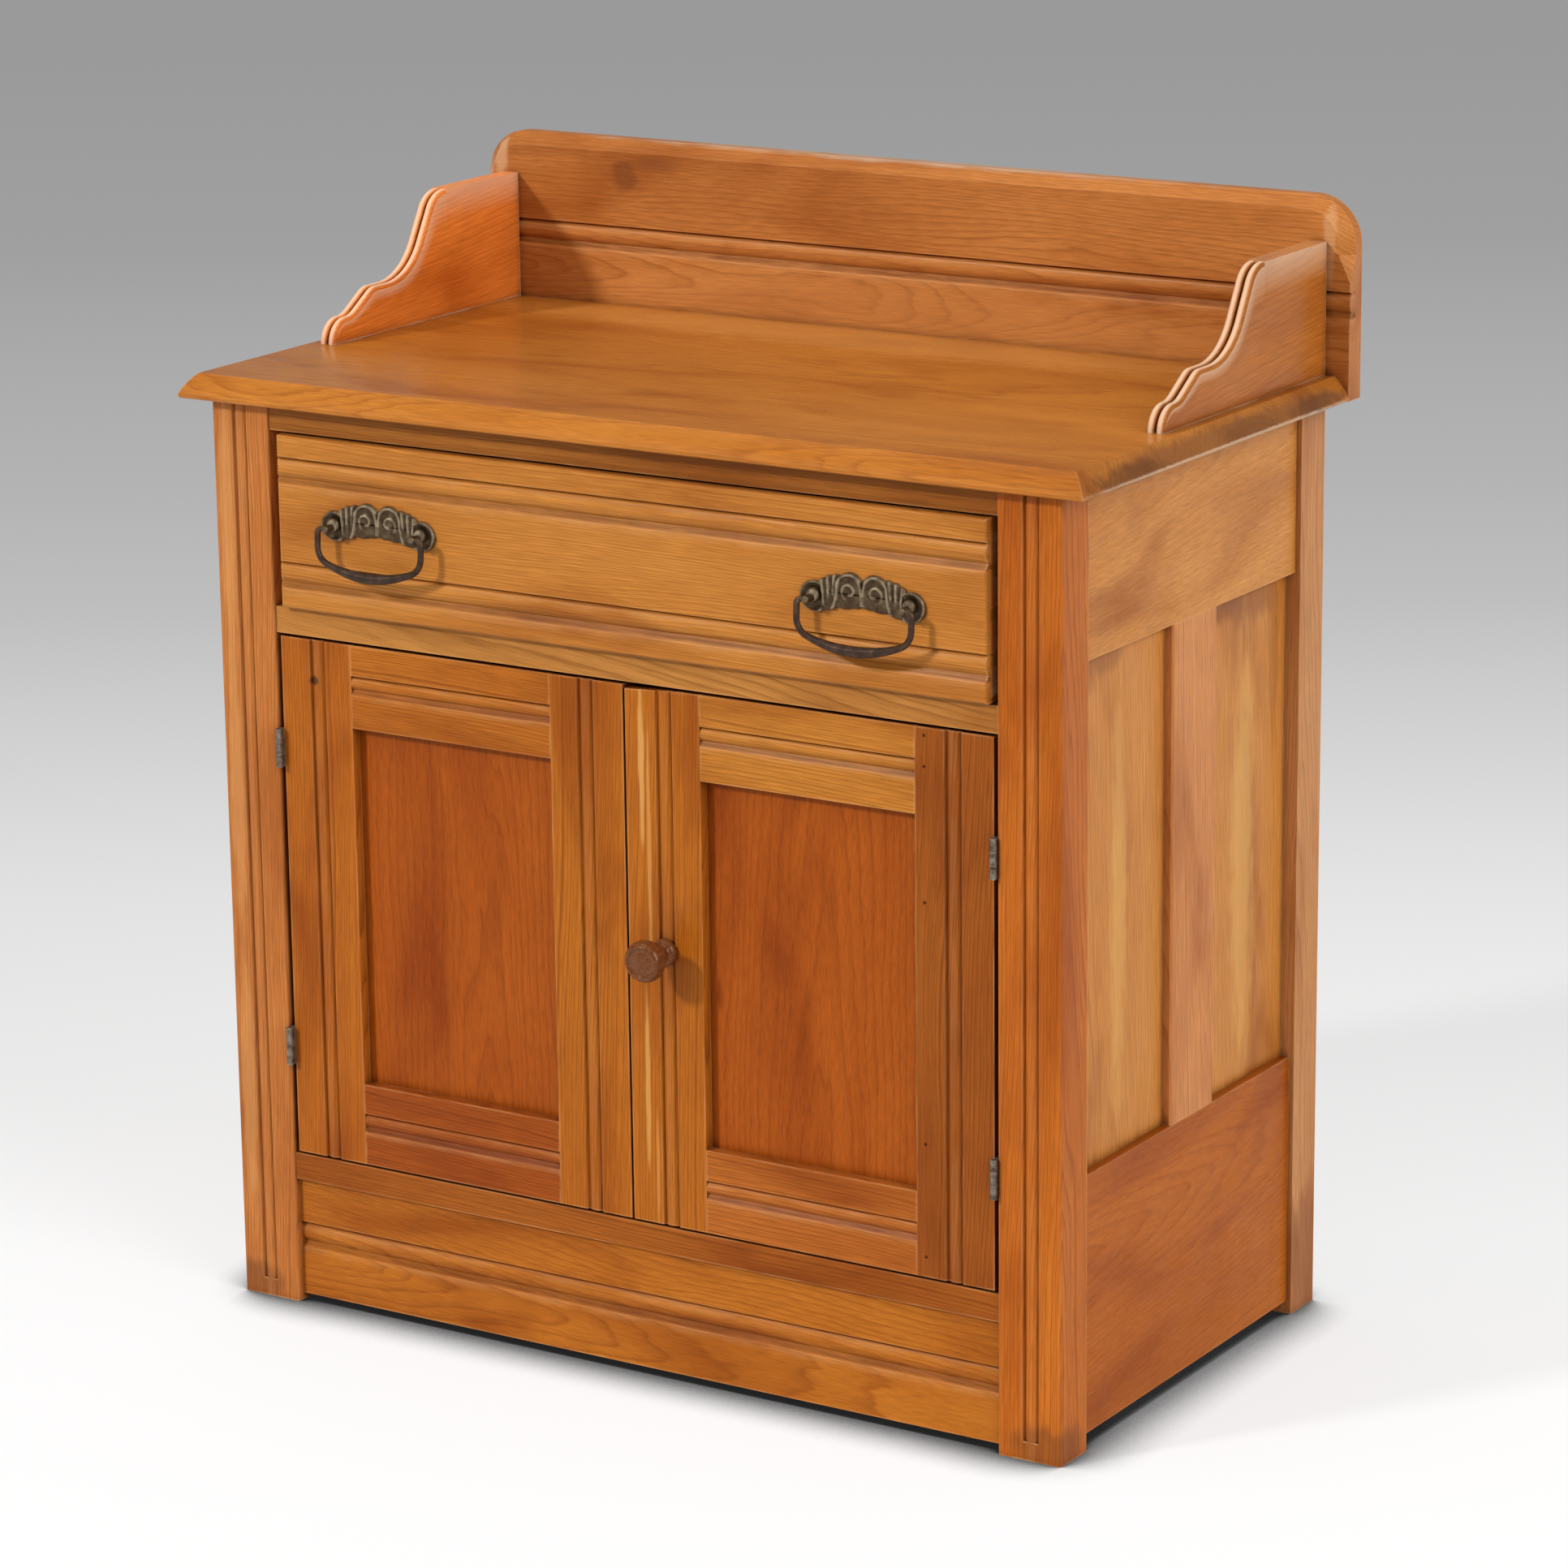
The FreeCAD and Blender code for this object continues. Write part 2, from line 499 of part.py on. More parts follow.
def glue_blocks():
    """Blocks that hold the top to the front rail."""
    back = RAIL_FACE + FRAME_THICKNESS
    blocks = []
    for index in range(GLUE_BLOCK_COUNT):
        middle = (index - (GLUE_BLOCK_COUNT - 1) / 2) * GLUE_BLOCK_SPACING
        x = (middle - GLUE_BLOCK_LENGTH / 2, middle + GLUE_BLOCK_LENGTH / 2)
        corner = [Vec(x[0], back, CASE_HEIGHT), Vec(x[0], back + TOP_RAIL_HEIGHT, CASE_HEIGHT)]
        corner.append(Vec(x[0], back, TOP_RAIL_BOTTOM))
        blocks.append(prism(corner, Vec(GLUE_BLOCK_LENGTH, 0, 0)))
    return Part.makeCompound(blocks)


def drawer_runner(side):
    """Bearer under a drawer side, with the guide that keeps the drawer straight."""
    drawer_edge = DRAWER_SHIFT + side * DRAWER_WIDTH / 2
    guide_face = drawer_edge + side * DRAWER_SIDE_CLEARANCE
    inner = drawer_edge - side * RUNNER_WIDTH_UNDER_SIDE
    z = (MIDDLE_RAIL_TOP - RUNNER_THICKNESS, MIDDLE_RAIL_TOP)
    rail_back = RAIL_FACE + FRAME_THICKNESS
    bearer = box((inner, side * SIDE_INSIDE), (FRONT_POST_BACK, REAR_POST_FRONT), z)
    nose = box((inner, side * OPENING), (rail_back, FRONT_POST_BACK), z)
    guide_z = (MIDDLE_RAIL_TOP, MIDDLE_RAIL_TOP + GUIDE_HEIGHT)
    guide = box((guide_face, side * SIDE_INSIDE), (FRONT_POST_BACK, REAR_POST_FRONT), guide_z)
    return joined(bearer, [nose, guide])


def drawer_kickers():
    """Strips under the top that keep the drawer from tipping when it is drawn out."""
    kickers = []
    for _, side in SIDES:
        inner = DRAWER_SHIFT + side * (DRAWER_WIDTH / 2 - RUNNER_WIDTH_UNDER_SIDE)
        z = (DRAWER_SIDE_TOP + DRAWER_KICKER_CLEARANCE, CASE_HEIGHT)
        kickers.append(box((inner, side * SIDE_INSIDE), (FRONT_POST_BACK, REAR_POST_FRONT), z))
    return Part.makeCompound(kickers)


def build_carcass(nodes):
    """Posts, rails, panels, back and inner fittings, each joint cut with the piece it takes."""
    front_rails = {
        "top_rail_front": (TOP_RAIL_BOTTOM, CASE_HEIGHT),
        "middle_rail_front": (MIDDLE_RAIL_BOTTOM, MIDDLE_RAIL_TOP),
        "bottom_rail_front": (BOTTOM_RAIL_BOTTOM, BOTTOM_RAIL_TOP),
    }
    mortises = []
    for name, z in front_rails.items():
        nodes[name], tenons = front_rail(z, FRONT_RAIL_RECESS, RAIL_TENON_SHOULDER)
        mortises += tenons
    plinth_z = (PLINTH_FLOOR_GAP, BOTTOM_RAIL_BOTTOM)
    plinth, tenons = front_rail(plinth_z, PLINTH_RECESS, BOARD_TENON_SHOULDER, PLINTH_BEAD_HEIGHT)
    nodes["plinth_front"] = plinth
    mortises += tenons

    rear_top = (CASE_HEIGHT - REAR_RAIL_HEIGHT, CASE_HEIGHT)
    rear_bottom = (REAR_RAIL_BOTTOM, FLOOR_UNDERSIDE)
    for name, z in (("rear_top_rail", rear_top), ("rear_bottom_rail", rear_bottom)):
        nodes[name], tenons = rear_rail(z)
        mortises += tenons

    posts = []
    for word, side in SIDES:
        top_z = (SIDE_TOP_RAIL_BOTTOM, CASE_HEIGHT)
        bottom_z = (SIDE_FLOOR_GAP, SIDE_BOTTOM_RAIL_TOP)
        top_rail, top_tenons = side_rail(side, top_z, BOARD_TENON_SHOULDER)
        bottom_rail, bottom_tenons = side_rail(side, bottom_z, BOARD_TENON_SHOULDER)
        muntin, muntin_tenons = side_muntin(side)
        limits = side_panel_limits(side)
        grooves = [grown_panel(x, y, z, "x") for x, y, z in limits]
        nodes["side_top_rail_" + word] = without(top_rail, muntin_tenons + grooves)
        nodes["side_bottom_rail_" + word] = without(bottom_rail, muntin_tenons + grooves)
        nodes["side_muntin_" + word] = without(muntin, grooves)
        nodes["side_panels_" + word] = Part.makeCompound([box(x, y, z) for x, y, z in limits])
        cuts = mortises + top_tenons + bottom_tenons + grooves
        nodes["front_post_" + word] = without(front_post(side), cuts)
        nodes["rear_post_" + word] = without(rear_post(side), cuts)
        posts += [nodes["front_post_" + word], nodes["rear_post_" + word]]
        nodes["drawer_runner_" + word] = drawer_runner(side)

    nodes["back_boards"] = back_boards()
    nodes["cupboard_floor"] = cupboard_floor(posts)
    nodes["floor_cleats"] = floor_cleats()
    nodes["top_glue_blocks"] = glue_blocks()
    nodes["drawer_kickers"] = drawer_kickers()


# ---- top, splash back and galleries ----------------------------------------------------------
def bevelled_edge(at):
    """Edges of a bevelled board edge, from its underside to its upper face.

    at(run, rise) places a point run in from the board's edge and rise above its underside.
    """
    foot = at(TOP_NOSE_ROUNDING, 0)
    nose = at(0, TOP_NOSE_ROUNDING)
    lip = at(0, TOP_NOSE_HEIGHT)
    brow = at(TOP_BEVEL_WIDTH, TOP_THICKNESS)
    rise = TOP_THICKNESS - TOP_NOSE_HEIGHT
    slant = math.hypot(TOP_BEVEL_WIDTH, rise)
    middle_run = TOP_BEVEL_WIDTH / 2 - TOP_BEVEL_BULGE * rise / slant
    middle_rise = (TOP_NOSE_HEIGHT + TOP_THICKNESS) / 2 + TOP_BEVEL_BULGE * TOP_BEVEL_WIDTH / slant
    slope = arc(lip, at(middle_run, middle_rise), brow)
    return [Part.makeLine(foot, nose), Part.makeLine(nose, lip), slope]


def top_board():
    """Board with a bevel along its front and both sides, mitred where the two sections cross."""
    front_edge = FRONT - TOP_FRONT_OVERHANG
    across = -TOP_HALF_WIDTH
    front = bevelled_edge(lambda run, rise: Vec(across, front_edge + run, CASE_HEIGHT + rise))
    first = front[0].Vertexes[0].Point
    last = front[-1].Vertexes[-1].Point
    rest = [last, Vec(across, BACKSPLASH_FACE, TOP_SURFACE)]
    rest += [Vec(across, BACKSPLASH_FACE, CASE_HEIGHT), first]
    section = Part.Wire(front + Part.makePolygon(rest).Edges)
    front_form = Part.Face(section).extrude(Vec(2 * TOP_HALF_WIDTH, 0, 0))

    left = bevelled_edge(lambda run, rise: Vec(-TOP_HALF_WIDTH + run, front_edge, CASE_HEIGHT + rise))
    right = bevelled_edge(lambda run, rise: Vec(TOP_HALF_WIDTH - run, front_edge, CASE_HEIGHT + rise))
    ends = [(edges[0].Vertexes[0].Point, edges[-1].Vertexes[-1].Point) for edges in (left, right)]
    underside = Part.makeLine(ends[0][0], ends[1][0])
    upper = Part.makeLine(ends[0][1], ends[1][1])
    side_section = Part.Wire(Part.__sortEdges__(left + right + [underside, upper]))
    side_form = Part.Face(side_section).extrude(Vec(0, BACKSPLASH_FACE - front_edge, 0))
    return front_form.common(side_form)


def backsplash():
    """Upright board with rounded corners, a bead across it and a chamfer that runs out low down."""
    face = BACKSPLASH_FACE
    half = TOP_HALF_WIDTH
    top = CASE_HEIGHT + BACKSPLASH_HEIGHT
    shoulder = top - BACKSPLASH_CORNER
    diagonal = BACKSPLASH_CORNER * (1 - math.sqrt(0.5))

    flat = half - BACKSPLASH_CORNER

    def corner(side):
        bend = Vec(side * (half - diagonal), face, top - diagonal)
        return arc(Vec(side * half, face, shoulder), bend, Vec(side * flat, face, top))

    level = Part.makeLine(Vec(-flat, face, top), Vec(flat, face, top))
    foot = [Vec(-half, face, shoulder), Vec(-half, face, CASE_HEIGHT)]
    foot += [Vec(half, face, CASE_HEIGHT), Vec(half, face, shoulder)]
    outline = Part.Wire(Part.__sortEdges__([corner(-1), level, corner(1)] + Part.makePolygon(foot).Edges))
    board = Part.Face(outline).extrude(Vec(0, BACKSPLASH_THICKNESS, 0))

    taper_end = CASE_HEIGHT + BACKSPLASH_CHAMFER_END
    full = taper_end + BACKSPLASH_CHAMFER_RUNOUT
    reach = BACKSPLASH_CHAMFER + AIR

    def section(height, side):
        points = [Vec(side * (half - reach), face - AIR, height)]
        points.append(Vec(side * (half + AIR), face + reach, height))
        points.append(Vec(side * (half + AIR), face - AIR, height))
        return Part.makePolygon(points + [points[0]])

    risers = [Part.makeLine(Vec(-half, face, full), Vec(-half, face, shoulder))]
    risers.append(Part.makeLine(Vec(half, face, shoulder), Vec(half, face, full)))
    path = Part.Wire([risers[0], corner(-1), level, corner(1), risers[1]])
    waste = [path.makePipeShell([section(full, -1)], True, False)]
    for _, side in SIDES:
        tip = Part.Vertex(Vec(side * (half + AIR), face - AIR, taper_end - AIR))
        waste.append(Part.makeLoft([section(full, side), tip], True, True))
    waste.append(level_bead((-half, half), face, CASE_HEIGHT + BACKSPLASH_BEAD_HEIGHT, WIDE_BEAD))
    return without(board, waste)


def ogee(at, start, end, radii):
    """Hollow arc, straight and round arc, level at both ends, sunk by the reeds' radius.

    start and end are points (run, rise) of the crest, and radii those of its hollow and its round.
    The straight touches both circles, so its slope follows from the distance of their centres.
    """
    hollow, crown = radii
    low = (start[0], start[1] + hollow)
    high = (end[0], end[1] - crown)
    gap = (high[0] - low[0], high[1] - low[1])
    slope = math.atan2(gap[1], gap[0]) + math.asin((hollow + crown) / math.hypot(*gap))
    hollow += REED_RADIUS
    crown -= REED_RADIUS

    def on_hollow(angle):
        return at(low[0] + hollow * math.sin(angle), low[1] - hollow * math.cos(angle))

    def on_crown(angle):
        return at(high[0] - crown * math.sin(angle), high[1] + crown * math.cos(angle))

    lower = arc(on_hollow(0), on_hollow(slope / 2), on_hollow(slope))
    upper = arc(on_crown(slope), on_crown(slope / 2), on_crown(0))
    return [lower, Part.makeLine(on_hollow(slope), on_crown(slope)), upper]


def gallery(side):
    """Low side wall of the top: a round nose, two ogees and two reeds along its scrolled edge."""
    inner = TOP_HALF_WIDTH - GALLERY_INSET - GALLERY_THICKNESS
    start_x = side * inner
    front = BACKSPLASH_FACE - GALLERY_LENGTH

    def at(run, rise):
        return Vec(start_x, front + run, TOP_SURFACE + rise)

    nose = GALLERY_NOSE - REED_RADIUS
    step = GALLERY_STEP_HEIGHT - REED_RADIUS
    head = GALLERY_HEIGHT - REED_RADIUS
    bend = nose * math.sqrt(0.5)
    step_start = (GALLERY_STEP_START, GALLERY_STEP_HEIGHT)
    step_end = (GALLERY_STEP_START + GALLERY_STEP_LENGTH, GALLERY_STEP_HEIGHT)
    scroll = [arc(at(REED_RADIUS, 0), at(GALLERY_NOSE - bend, bend), at(GALLERY_NOSE, nose))]
    scroll += ogee(at, (GALLERY_NOSE, GALLERY_NOSE), step_start, LOW_OGEE)
    scroll.append(Part.makeLine(at(step_start[0], step), at(step_end[0], step)))
    scroll += ogee(at, step_end, (GALLERY_RISE_END, GALLERY_HEIGHT), HIGH_OGEE)
    rest = [at(GALLERY_RISE_END, head), at(GALLERY_RISE_END, GALLERY_HEIGHT)]
    rest += [at(GALLERY_LENGTH, GALLERY_HEIGHT), at(GALLERY_LENGTH, 0), at(REED_RADIUS, 0)]
    outline = Part.Wire(scroll + Part.makePolygon(rest).Edges)
    wall = Part.Face(outline).extrude(Vec(side * GALLERY_THICKNESS, 0, 0))
    path = Part.Wire(scroll)
    reeds = []
    for offset in (-REED_SPACING / 2, REED_SPACING / 2):
        shift = Vec(side * (GALLERY_THICKNESS / 2 + offset), 0, 0)
        foot = at(REED_RADIUS, 0) + shift
        ring = round_section(foot, Vec(1, 0, 0), Vec(0, 1, 0), REED_RADIUS, REED_FACETS)
        reeds.append(path.translated(shift).makePipeShell([ring], True, False))
    return joined(wall, reeds)


# ---- drawer ----------------------------------------------------------------------------------
def tails(x, root_y, tip_y):
    """Dovetails of a drawer side, spread evenly over its height and flaring towards their tips."""
    pitch = (DRAWER_SIDE_TOP - DRAWER_SIDE_BOTTOM) / TAIL_COUNT
    root = TAIL_ROOT / 2
    tip = root + abs(tip_y - root_y) * TAIL_SLOPE
    solids = []
    for index in range(TAIL_COUNT):
        middle = DRAWER_SIDE_BOTTOM + (index + 0.5) * pitch
        points = [Vec(x[0], root_y, middle - root), Vec(x[0], tip_y, middle - tip)]
        points += [Vec(x[0], tip_y, middle + tip), Vec(x[0], root_y, middle + root)]
        solids.append(prism(points, Vec(x[1] - x[0], 0, 0)))
    return solids


def drawer_front_blank():
    """Front board with rounded face edges and two beads, before its joints are cut."""
    x = (DRAWER_SHIFT - DRAWER_WIDTH / 2, DRAWER_SHIFT + DRAWER_WIDTH / 2)
    board = box(x, (DRAWER_FACE, DRAWER_FRONT_BACK), (DRAWER_FRONT_BOTTOM, DRAWER_FRONT_TOP))
    arrises = edges_on(board, "y", DRAWER_FACE, "x") + edges_on(board, "y", DRAWER_FACE, "z")
    board = board.makeFillet(DRAWER_FRONT_ROUNDING, arrises)
    upper = DRAWER_FRONT_TOP - DRAWER_BEAD_MARGIN
    heights = (upper, upper - DRAWER_BEAD_SPACING)
    return without(board, [level_bead(x, DRAWER_FACE, height, WIDE_BEAD) for height in heights])


def build_drawer(nodes):
    """Dovetailed box: half-blind tails at the front, through tails at the back."""
    inner_half = DRAWER_WIDTH / 2 - DRAWER_SIDE_THICKNESS
    panel_half = inner_half + DRAWER_GROOVE_DEPTH
    panel_y = (DRAWER_FRONT_BACK - DRAWER_GROOVE_DEPTH, DRAWER_BACK_REAR)
    panel_x = (DRAWER_SHIFT - panel_half, DRAWER_SHIFT + panel_half)
    bottom = box(panel_x, panel_y, (DRAWER_FLOOR, DRAWER_FLOOR_TOP))
    front = drawer_front_blank().cut(bottom)
    back_x = (DRAWER_SHIFT - DRAWER_WIDTH / 2, DRAWER_SHIFT + DRAWER_WIDTH / 2)
    back = box(back_x, (DRAWER_BACK_FRONT, DRAWER_BACK_REAR), (DRAWER_FLOOR_TOP, DRAWER_SIDE_TOP))
    for word, side in SIDES:
        x = (DRAWER_SHIFT + side * inner_half, DRAWER_SHIFT + side * DRAWER_WIDTH / 2)
        front_tails = tails(x, DRAWER_FRONT_BACK, DRAWER_FACE + TAIL_LAP)
        back_tails = tails(x, DRAWER_BACK_FRONT, DRAWER_BACK_REAR)
        board = box(x, (DRAWER_FRONT_BACK, DRAWER_BACK_FRONT), (DRAWER_SIDE_BOTTOM, DRAWER_SIDE_TOP))
        foot_z = (DRAWER_SIDE_BOTTOM, DRAWER_FLOOR_TOP)
        foot = box(x, (DRAWER_BACK_FRONT, DRAWER_BACK_REAR), foot_z)
        whole = joined(board, front_tails + back_tails + [foot])
        nodes["drawer_side_" + word] = whole.cut(bottom)
        front = without(front, front_tails)
        back = back.cut(whole)
    nodes["drawer_front"] = without(front, pull_shank_holes())
    nodes["drawer_back"] = back
    nodes["drawer_bottom"] = bottom


# ---- pulls -----------------------------------------------------------------------------------
def pull_point(centre, u, w, d):
    """Point of a pull, from its own three distances."""
    return Vec(centre[0] + u, DRAWER_FACE - d, centre[1] + w)


def boss_centres(centre):
    """Where the two posts of a pull stand, with the side that each is on."""
    return [(side, pull_point(centre, side * PULL_SPACING / 2, 0, 0)) for _, side in SIDES]


def pull_shank_holes():
    holes = []
    for centre in PULL_CENTRES:
        for _, foot in boss_centres(centre):
            start = foot - Vec(0, AIR, 0)
            depth = DRAWER_FRONT_THICKNESS + 2 * AIR
            holes.append(rod(start, Vec(0, depth, 0), PULL_SHANK_RADIUS))
    return holes


def plate_outline(centre):
    """Scalloped outline of a back plate: round shells, three flutes and a round end on each side."""
    def scallop(side, first, second, rise):
        middle = ((first[0] + second[0]) / 2, (first[1] + second[1]) / 2 + rise)
        points = [pull_point(centre, side * u, w, 0) for u, w in (first, middle, second)]
        return arc(*points)

    edges = []
    for _, side in SIDES:
        for first, second, rise in zip(PLATE_TOP, PLATE_TOP[1:], PLATE_TOP_RISES):
            edges.append(scallop(side, first, second, rise))
        end = [pull_point(centre, side * u, w, 0) for u, w in (PLATE_TOP[-1], PLATE_END, PLATE_FOOT[0])]
        edges.append(arc(*end))
        for first, second in zip(PLATE_FOOT, PLATE_FOOT[1:]):
            edges.append(scallop(side, first, second, -PLATE_FOOT_RISE))
    return Part.Wire(Part.__sortEdges__(edges))


def flute(centre, top, bottom):
    """V-shaped cutter between two points of the plate's edge."""
    start = pull_point(centre, top[0], top[1] + AIR, PLATE_THICKNESS)
    end = pull_point(centre, bottom[0], bottom[1] - AIR, PLATE_THICKNESS)
    run = end - start
    across = run.cross(Vec(0, 1, 0)).normalize() * (FLUTE_WIDTH / 2)
    points = [start - across, start + Vec(0, FLUTE_DEPTH, 0), start + across]
    return prism(points, run)


def scroll(centre, side):
    """Raised ridge wound inwards by half circles."""
    middle = pull_point(centre, side * SCROLL_OFFSET, SCROLL_HEIGHT, PLATE_THICKNESS)
    start = middle - Vec(0, 0, SCROLL_RADII[0])
    edges = []
    toward = 1
    for radius in SCROLL_RADII:
        end = start + Vec(0, 0, toward * 2 * radius)
        bend = (start + end) * 0.5 + Vec(side * toward * radius, 0, 0)
        edges.append(arc(start, bend, end))
        start = end
        toward = -toward
    first = edges[0].Vertexes[0].Point
    half = Vec(0, 0, RIDGE_WIDTH / 2)
    sunk = Vec(0, AIR, 0)
    raised = Vec(0, -RIDGE_HEIGHT, 0)
    profile = [first - half + sunk, first - half + raised]
    profile += [first + half + raised, first + half + sunk]
    return Part.Wire(edges).makePipeShell([Part.makePolygon(profile + [profile[0]])], True, False)


def pull_plate(centre):
    """Cast back plate: scalloped sheet with flutes cut into it and two scrolls standing on it."""
    drawn = (centre[0], centre[1] + PLATE_RAISE)
    plate = Part.Face(plate_outline(drawn)).extrude(Vec(0, -PLATE_THICKNESS, 0))
    cuts = []
    for side, foot in boss_centres(centre):
        for top, bottom in PLATE_FLUTES:
            cuts.append(flute(drawn, (side * top[0], top[1]), (side * bottom[0], bottom[1])))
        start = foot + Vec(0, AIR, 0)
        cuts.append(rod(start, Vec(0, -PLATE_THICKNESS - 2 * AIR, 0), PULL_SHANK_RADIUS))
    plate = without(plate, cuts)
    return plate.fuse([scroll(drawn, side) for _, side in SIDES])


def pull_post(foot, side):
    """Post on a low dome, with its shank, bored across for the end of the bail."""
    inner_end = DRAWER_FRONT_THICKNESS + PULL_SHANK_END
    shank = rod(foot + Vec(0, inner_end, 0), Vec(0, -inner_end - PLATE_THICKNESS, 0), PULL_SHANK_RADIUS)
    stations = [(BOSS_RADIUS, PLATE_THICKNESS), (BOSS_RADIUS, PLATE_THICKNESS + BOSS_WALL)]
    stations += [(POST_RADIUS, PLATE_THICKNESS + BOSS_HEIGHT), (POST_RADIUS, POST_PROUD)]
    stations.append((POST_TIP_RADIUS, POST_TIP_PROUD))
    rings = []
    for radius, proud in stations:
        rings.append(round_section(foot - Vec(0, proud, 0), Vec(1, 0, 0), Vec(0, 0, 1), radius, ROD_FACETS))
    solid = joined(Part.makeLoft(rings, True, True), [shank])
    hole_start = foot + Vec(-side * (POST_RADIUS + AIR), -PIVOT_PROUD, 0)
    hole_radius = BAIL_PIN_RADIUS + BAIL_PIN_CLEARANCE
    return solid.cut(bore(hole_start, Vec(side * 2 * (POST_RADIUS + AIR), 0, 0), hole_radius))


def bail_stations():
    """Centre, direction and radius of each section of a bail, from its left arm to its right."""
    corner_u = BAIL_HALF_WIDTH - BAIL_CORNER
    flare = math.atan((BAIL_DROP - BAIL_ARM - BAIL_CORNER) / corner_u)
    turn = math.pi / 2 - 2 * flare
    grip_radius = BAIL_CORNER + corner_u / math.cos(turn)
    elbow_u = BAIL_HALF_WIDTH - BAIL_ELBOW
    half = []
    for angle in (-math.pi / 2, -math.pi / 4, 0.0):
        half.append((elbow_u + BAIL_ELBOW * math.cos(angle), BAIL_ELBOW * (1 + math.sin(angle)), angle))
    for part in (0.1, 0.5, 0.95):
        angle = part * turn
        u = corner_u + BAIL_CORNER * math.cos(angle)
        half.append((u, BAIL_ARM + BAIL_CORNER * math.sin(angle), angle))
    for part in (0.35, 0.7):
        angle = turn + part * (math.pi / 2 - turn)
        u = grip_radius * math.cos(angle)
        half.append((u, BAIL_DROP - grip_radius * (1 - math.sin(angle)), angle))
    bottom = [(0.0, BAIL_DROP, math.pi / 2)]
    left = [(-u, drop, math.pi - angle) for u, drop, angle in half]
    stations = []
    for u, drop, angle in left + bottom + half[::-1]:
        share = math.cos(math.pi / 2 * u / BAIL_HALF_WIDTH) ** 2
        radius = BAIL_ARM_RADIUS + (BAIL_GRIP_RADIUS - BAIL_ARM_RADIUS) * share
        stations.append((u, drop, angle, radius))
    return stations


def pull_bail(centre):
    """Drop handle, thickest in the middle of its grip, with pins that turn in the two posts."""
    sections = []
    for u, drop, angle, radius in bail_stations():
        place = pull_point(centre, u, -drop, PIVOT_PROUD)
        outward = Vec(math.cos(angle), 0, -math.sin(angle))
        sections.append(round_section(place, outward, Vec(0, 1, 0), radius, BAIL_FACETS))
    grip = Part.makeLoft(sections, True, True)
    pins = []
    for _, side in SIDES:
        elbow = pull_point(centre, side * (BAIL_HALF_WIDTH - BAIL_ELBOW), 0, PIVOT_PROUD)
        pins.append(rod(elbow, Vec(-side * BAIL_PIN_LENGTH, 0, 0), BAIL_PIN_RADIUS))
    bail = grip.fuse(pins)
    bail.rotate(pull_point(centre, 0, 0, PIVOT_PROUD), Vec(-1, 0, 0), BAIL_TILT)
    return bail


def build_pulls(nodes):
    posts = []
    for (word, _), centre in zip(SIDES, PULL_CENTRES):
        nodes["pull_bail_" + word] = pull_bail(centre)
        posts += [pull_post(foot, side) for side, foot in boss_centres(centre)]
    nodes["pull_plates"] = Part.makeCompound([pull_plate(centre) for centre in PULL_CENTRES])
    nodes["pull_posts"] = Part.makeCompound(posts)


# ---- doors -----------------------------------------------------------------------------------
def door_rail(side, z):
    """Rail of a door with its bead and the tenons that enter the two stiles."""
    x = (side * (DOOR_INNER + STILE_WIDTH), side * (DOOR_OUTER - STILE_WIDTH))
    low = min(x)
    high = max(x)
    body = box(x, (DOOR_FACE, DOOR_BACK), z)
    body = body.cut(level_bead((low, high), DOOR_FACE, z[1] - DOOR_RAIL_BEAD_MARGIN, RAIL_BEAD))
    tenon_y = (DOOR_PANEL_FACE, DOOR_PANEL_BACK)
    tenon_z = (z[0] + BOARD_TENON_SHOULDER, z[1] - BOARD_TENON_SHOULDER)
    tenons = [box((low - DOOR_TENON_LENGTH, low), tenon_y, tenon_z)]
    tenons.append(box((high, high + DOOR_TENON_LENGTH), tenon_y, tenon_z))
    return joined(body, tenons), tenons


def door_stile(side, outer_x, toward):
    """Stile of a door; toward points from its outer edge to the panel."""
    x = (side * outer_x, side * (outer_x + toward * STILE_WIDTH))
    body = box(x, (DOOR_FACE, DOOR_BACK), (DOOR_BOTTOM, DOOR_TOP))
    quirk_x = side * (outer_x + toward * STILE_BEAD_MARGIN)
    z = (DOOR_BOTTOM - AIR, DOOR_TOP + AIR)
    return body.cut(upright_bead(quirk_x, side * toward, DOOR_FACE, z, STILE_BEAD))


def planed_corner():
    """Sliver planed off the top of the right door where it used to bind."""
    start = Vec(DOOR_INNER - AIR, DOOR_FACE - AIR, DOOR_TOP)
    points = [start - Vec(0, 0, PLANED_DEPTH), start + Vec(PLANED_LENGTH + AIR, 0, 0)]
    points.append(start + Vec(0, 0, AIR))
    return prism(points, Vec(0, DOOR_THICKNESS + 2 * AIR, 0))


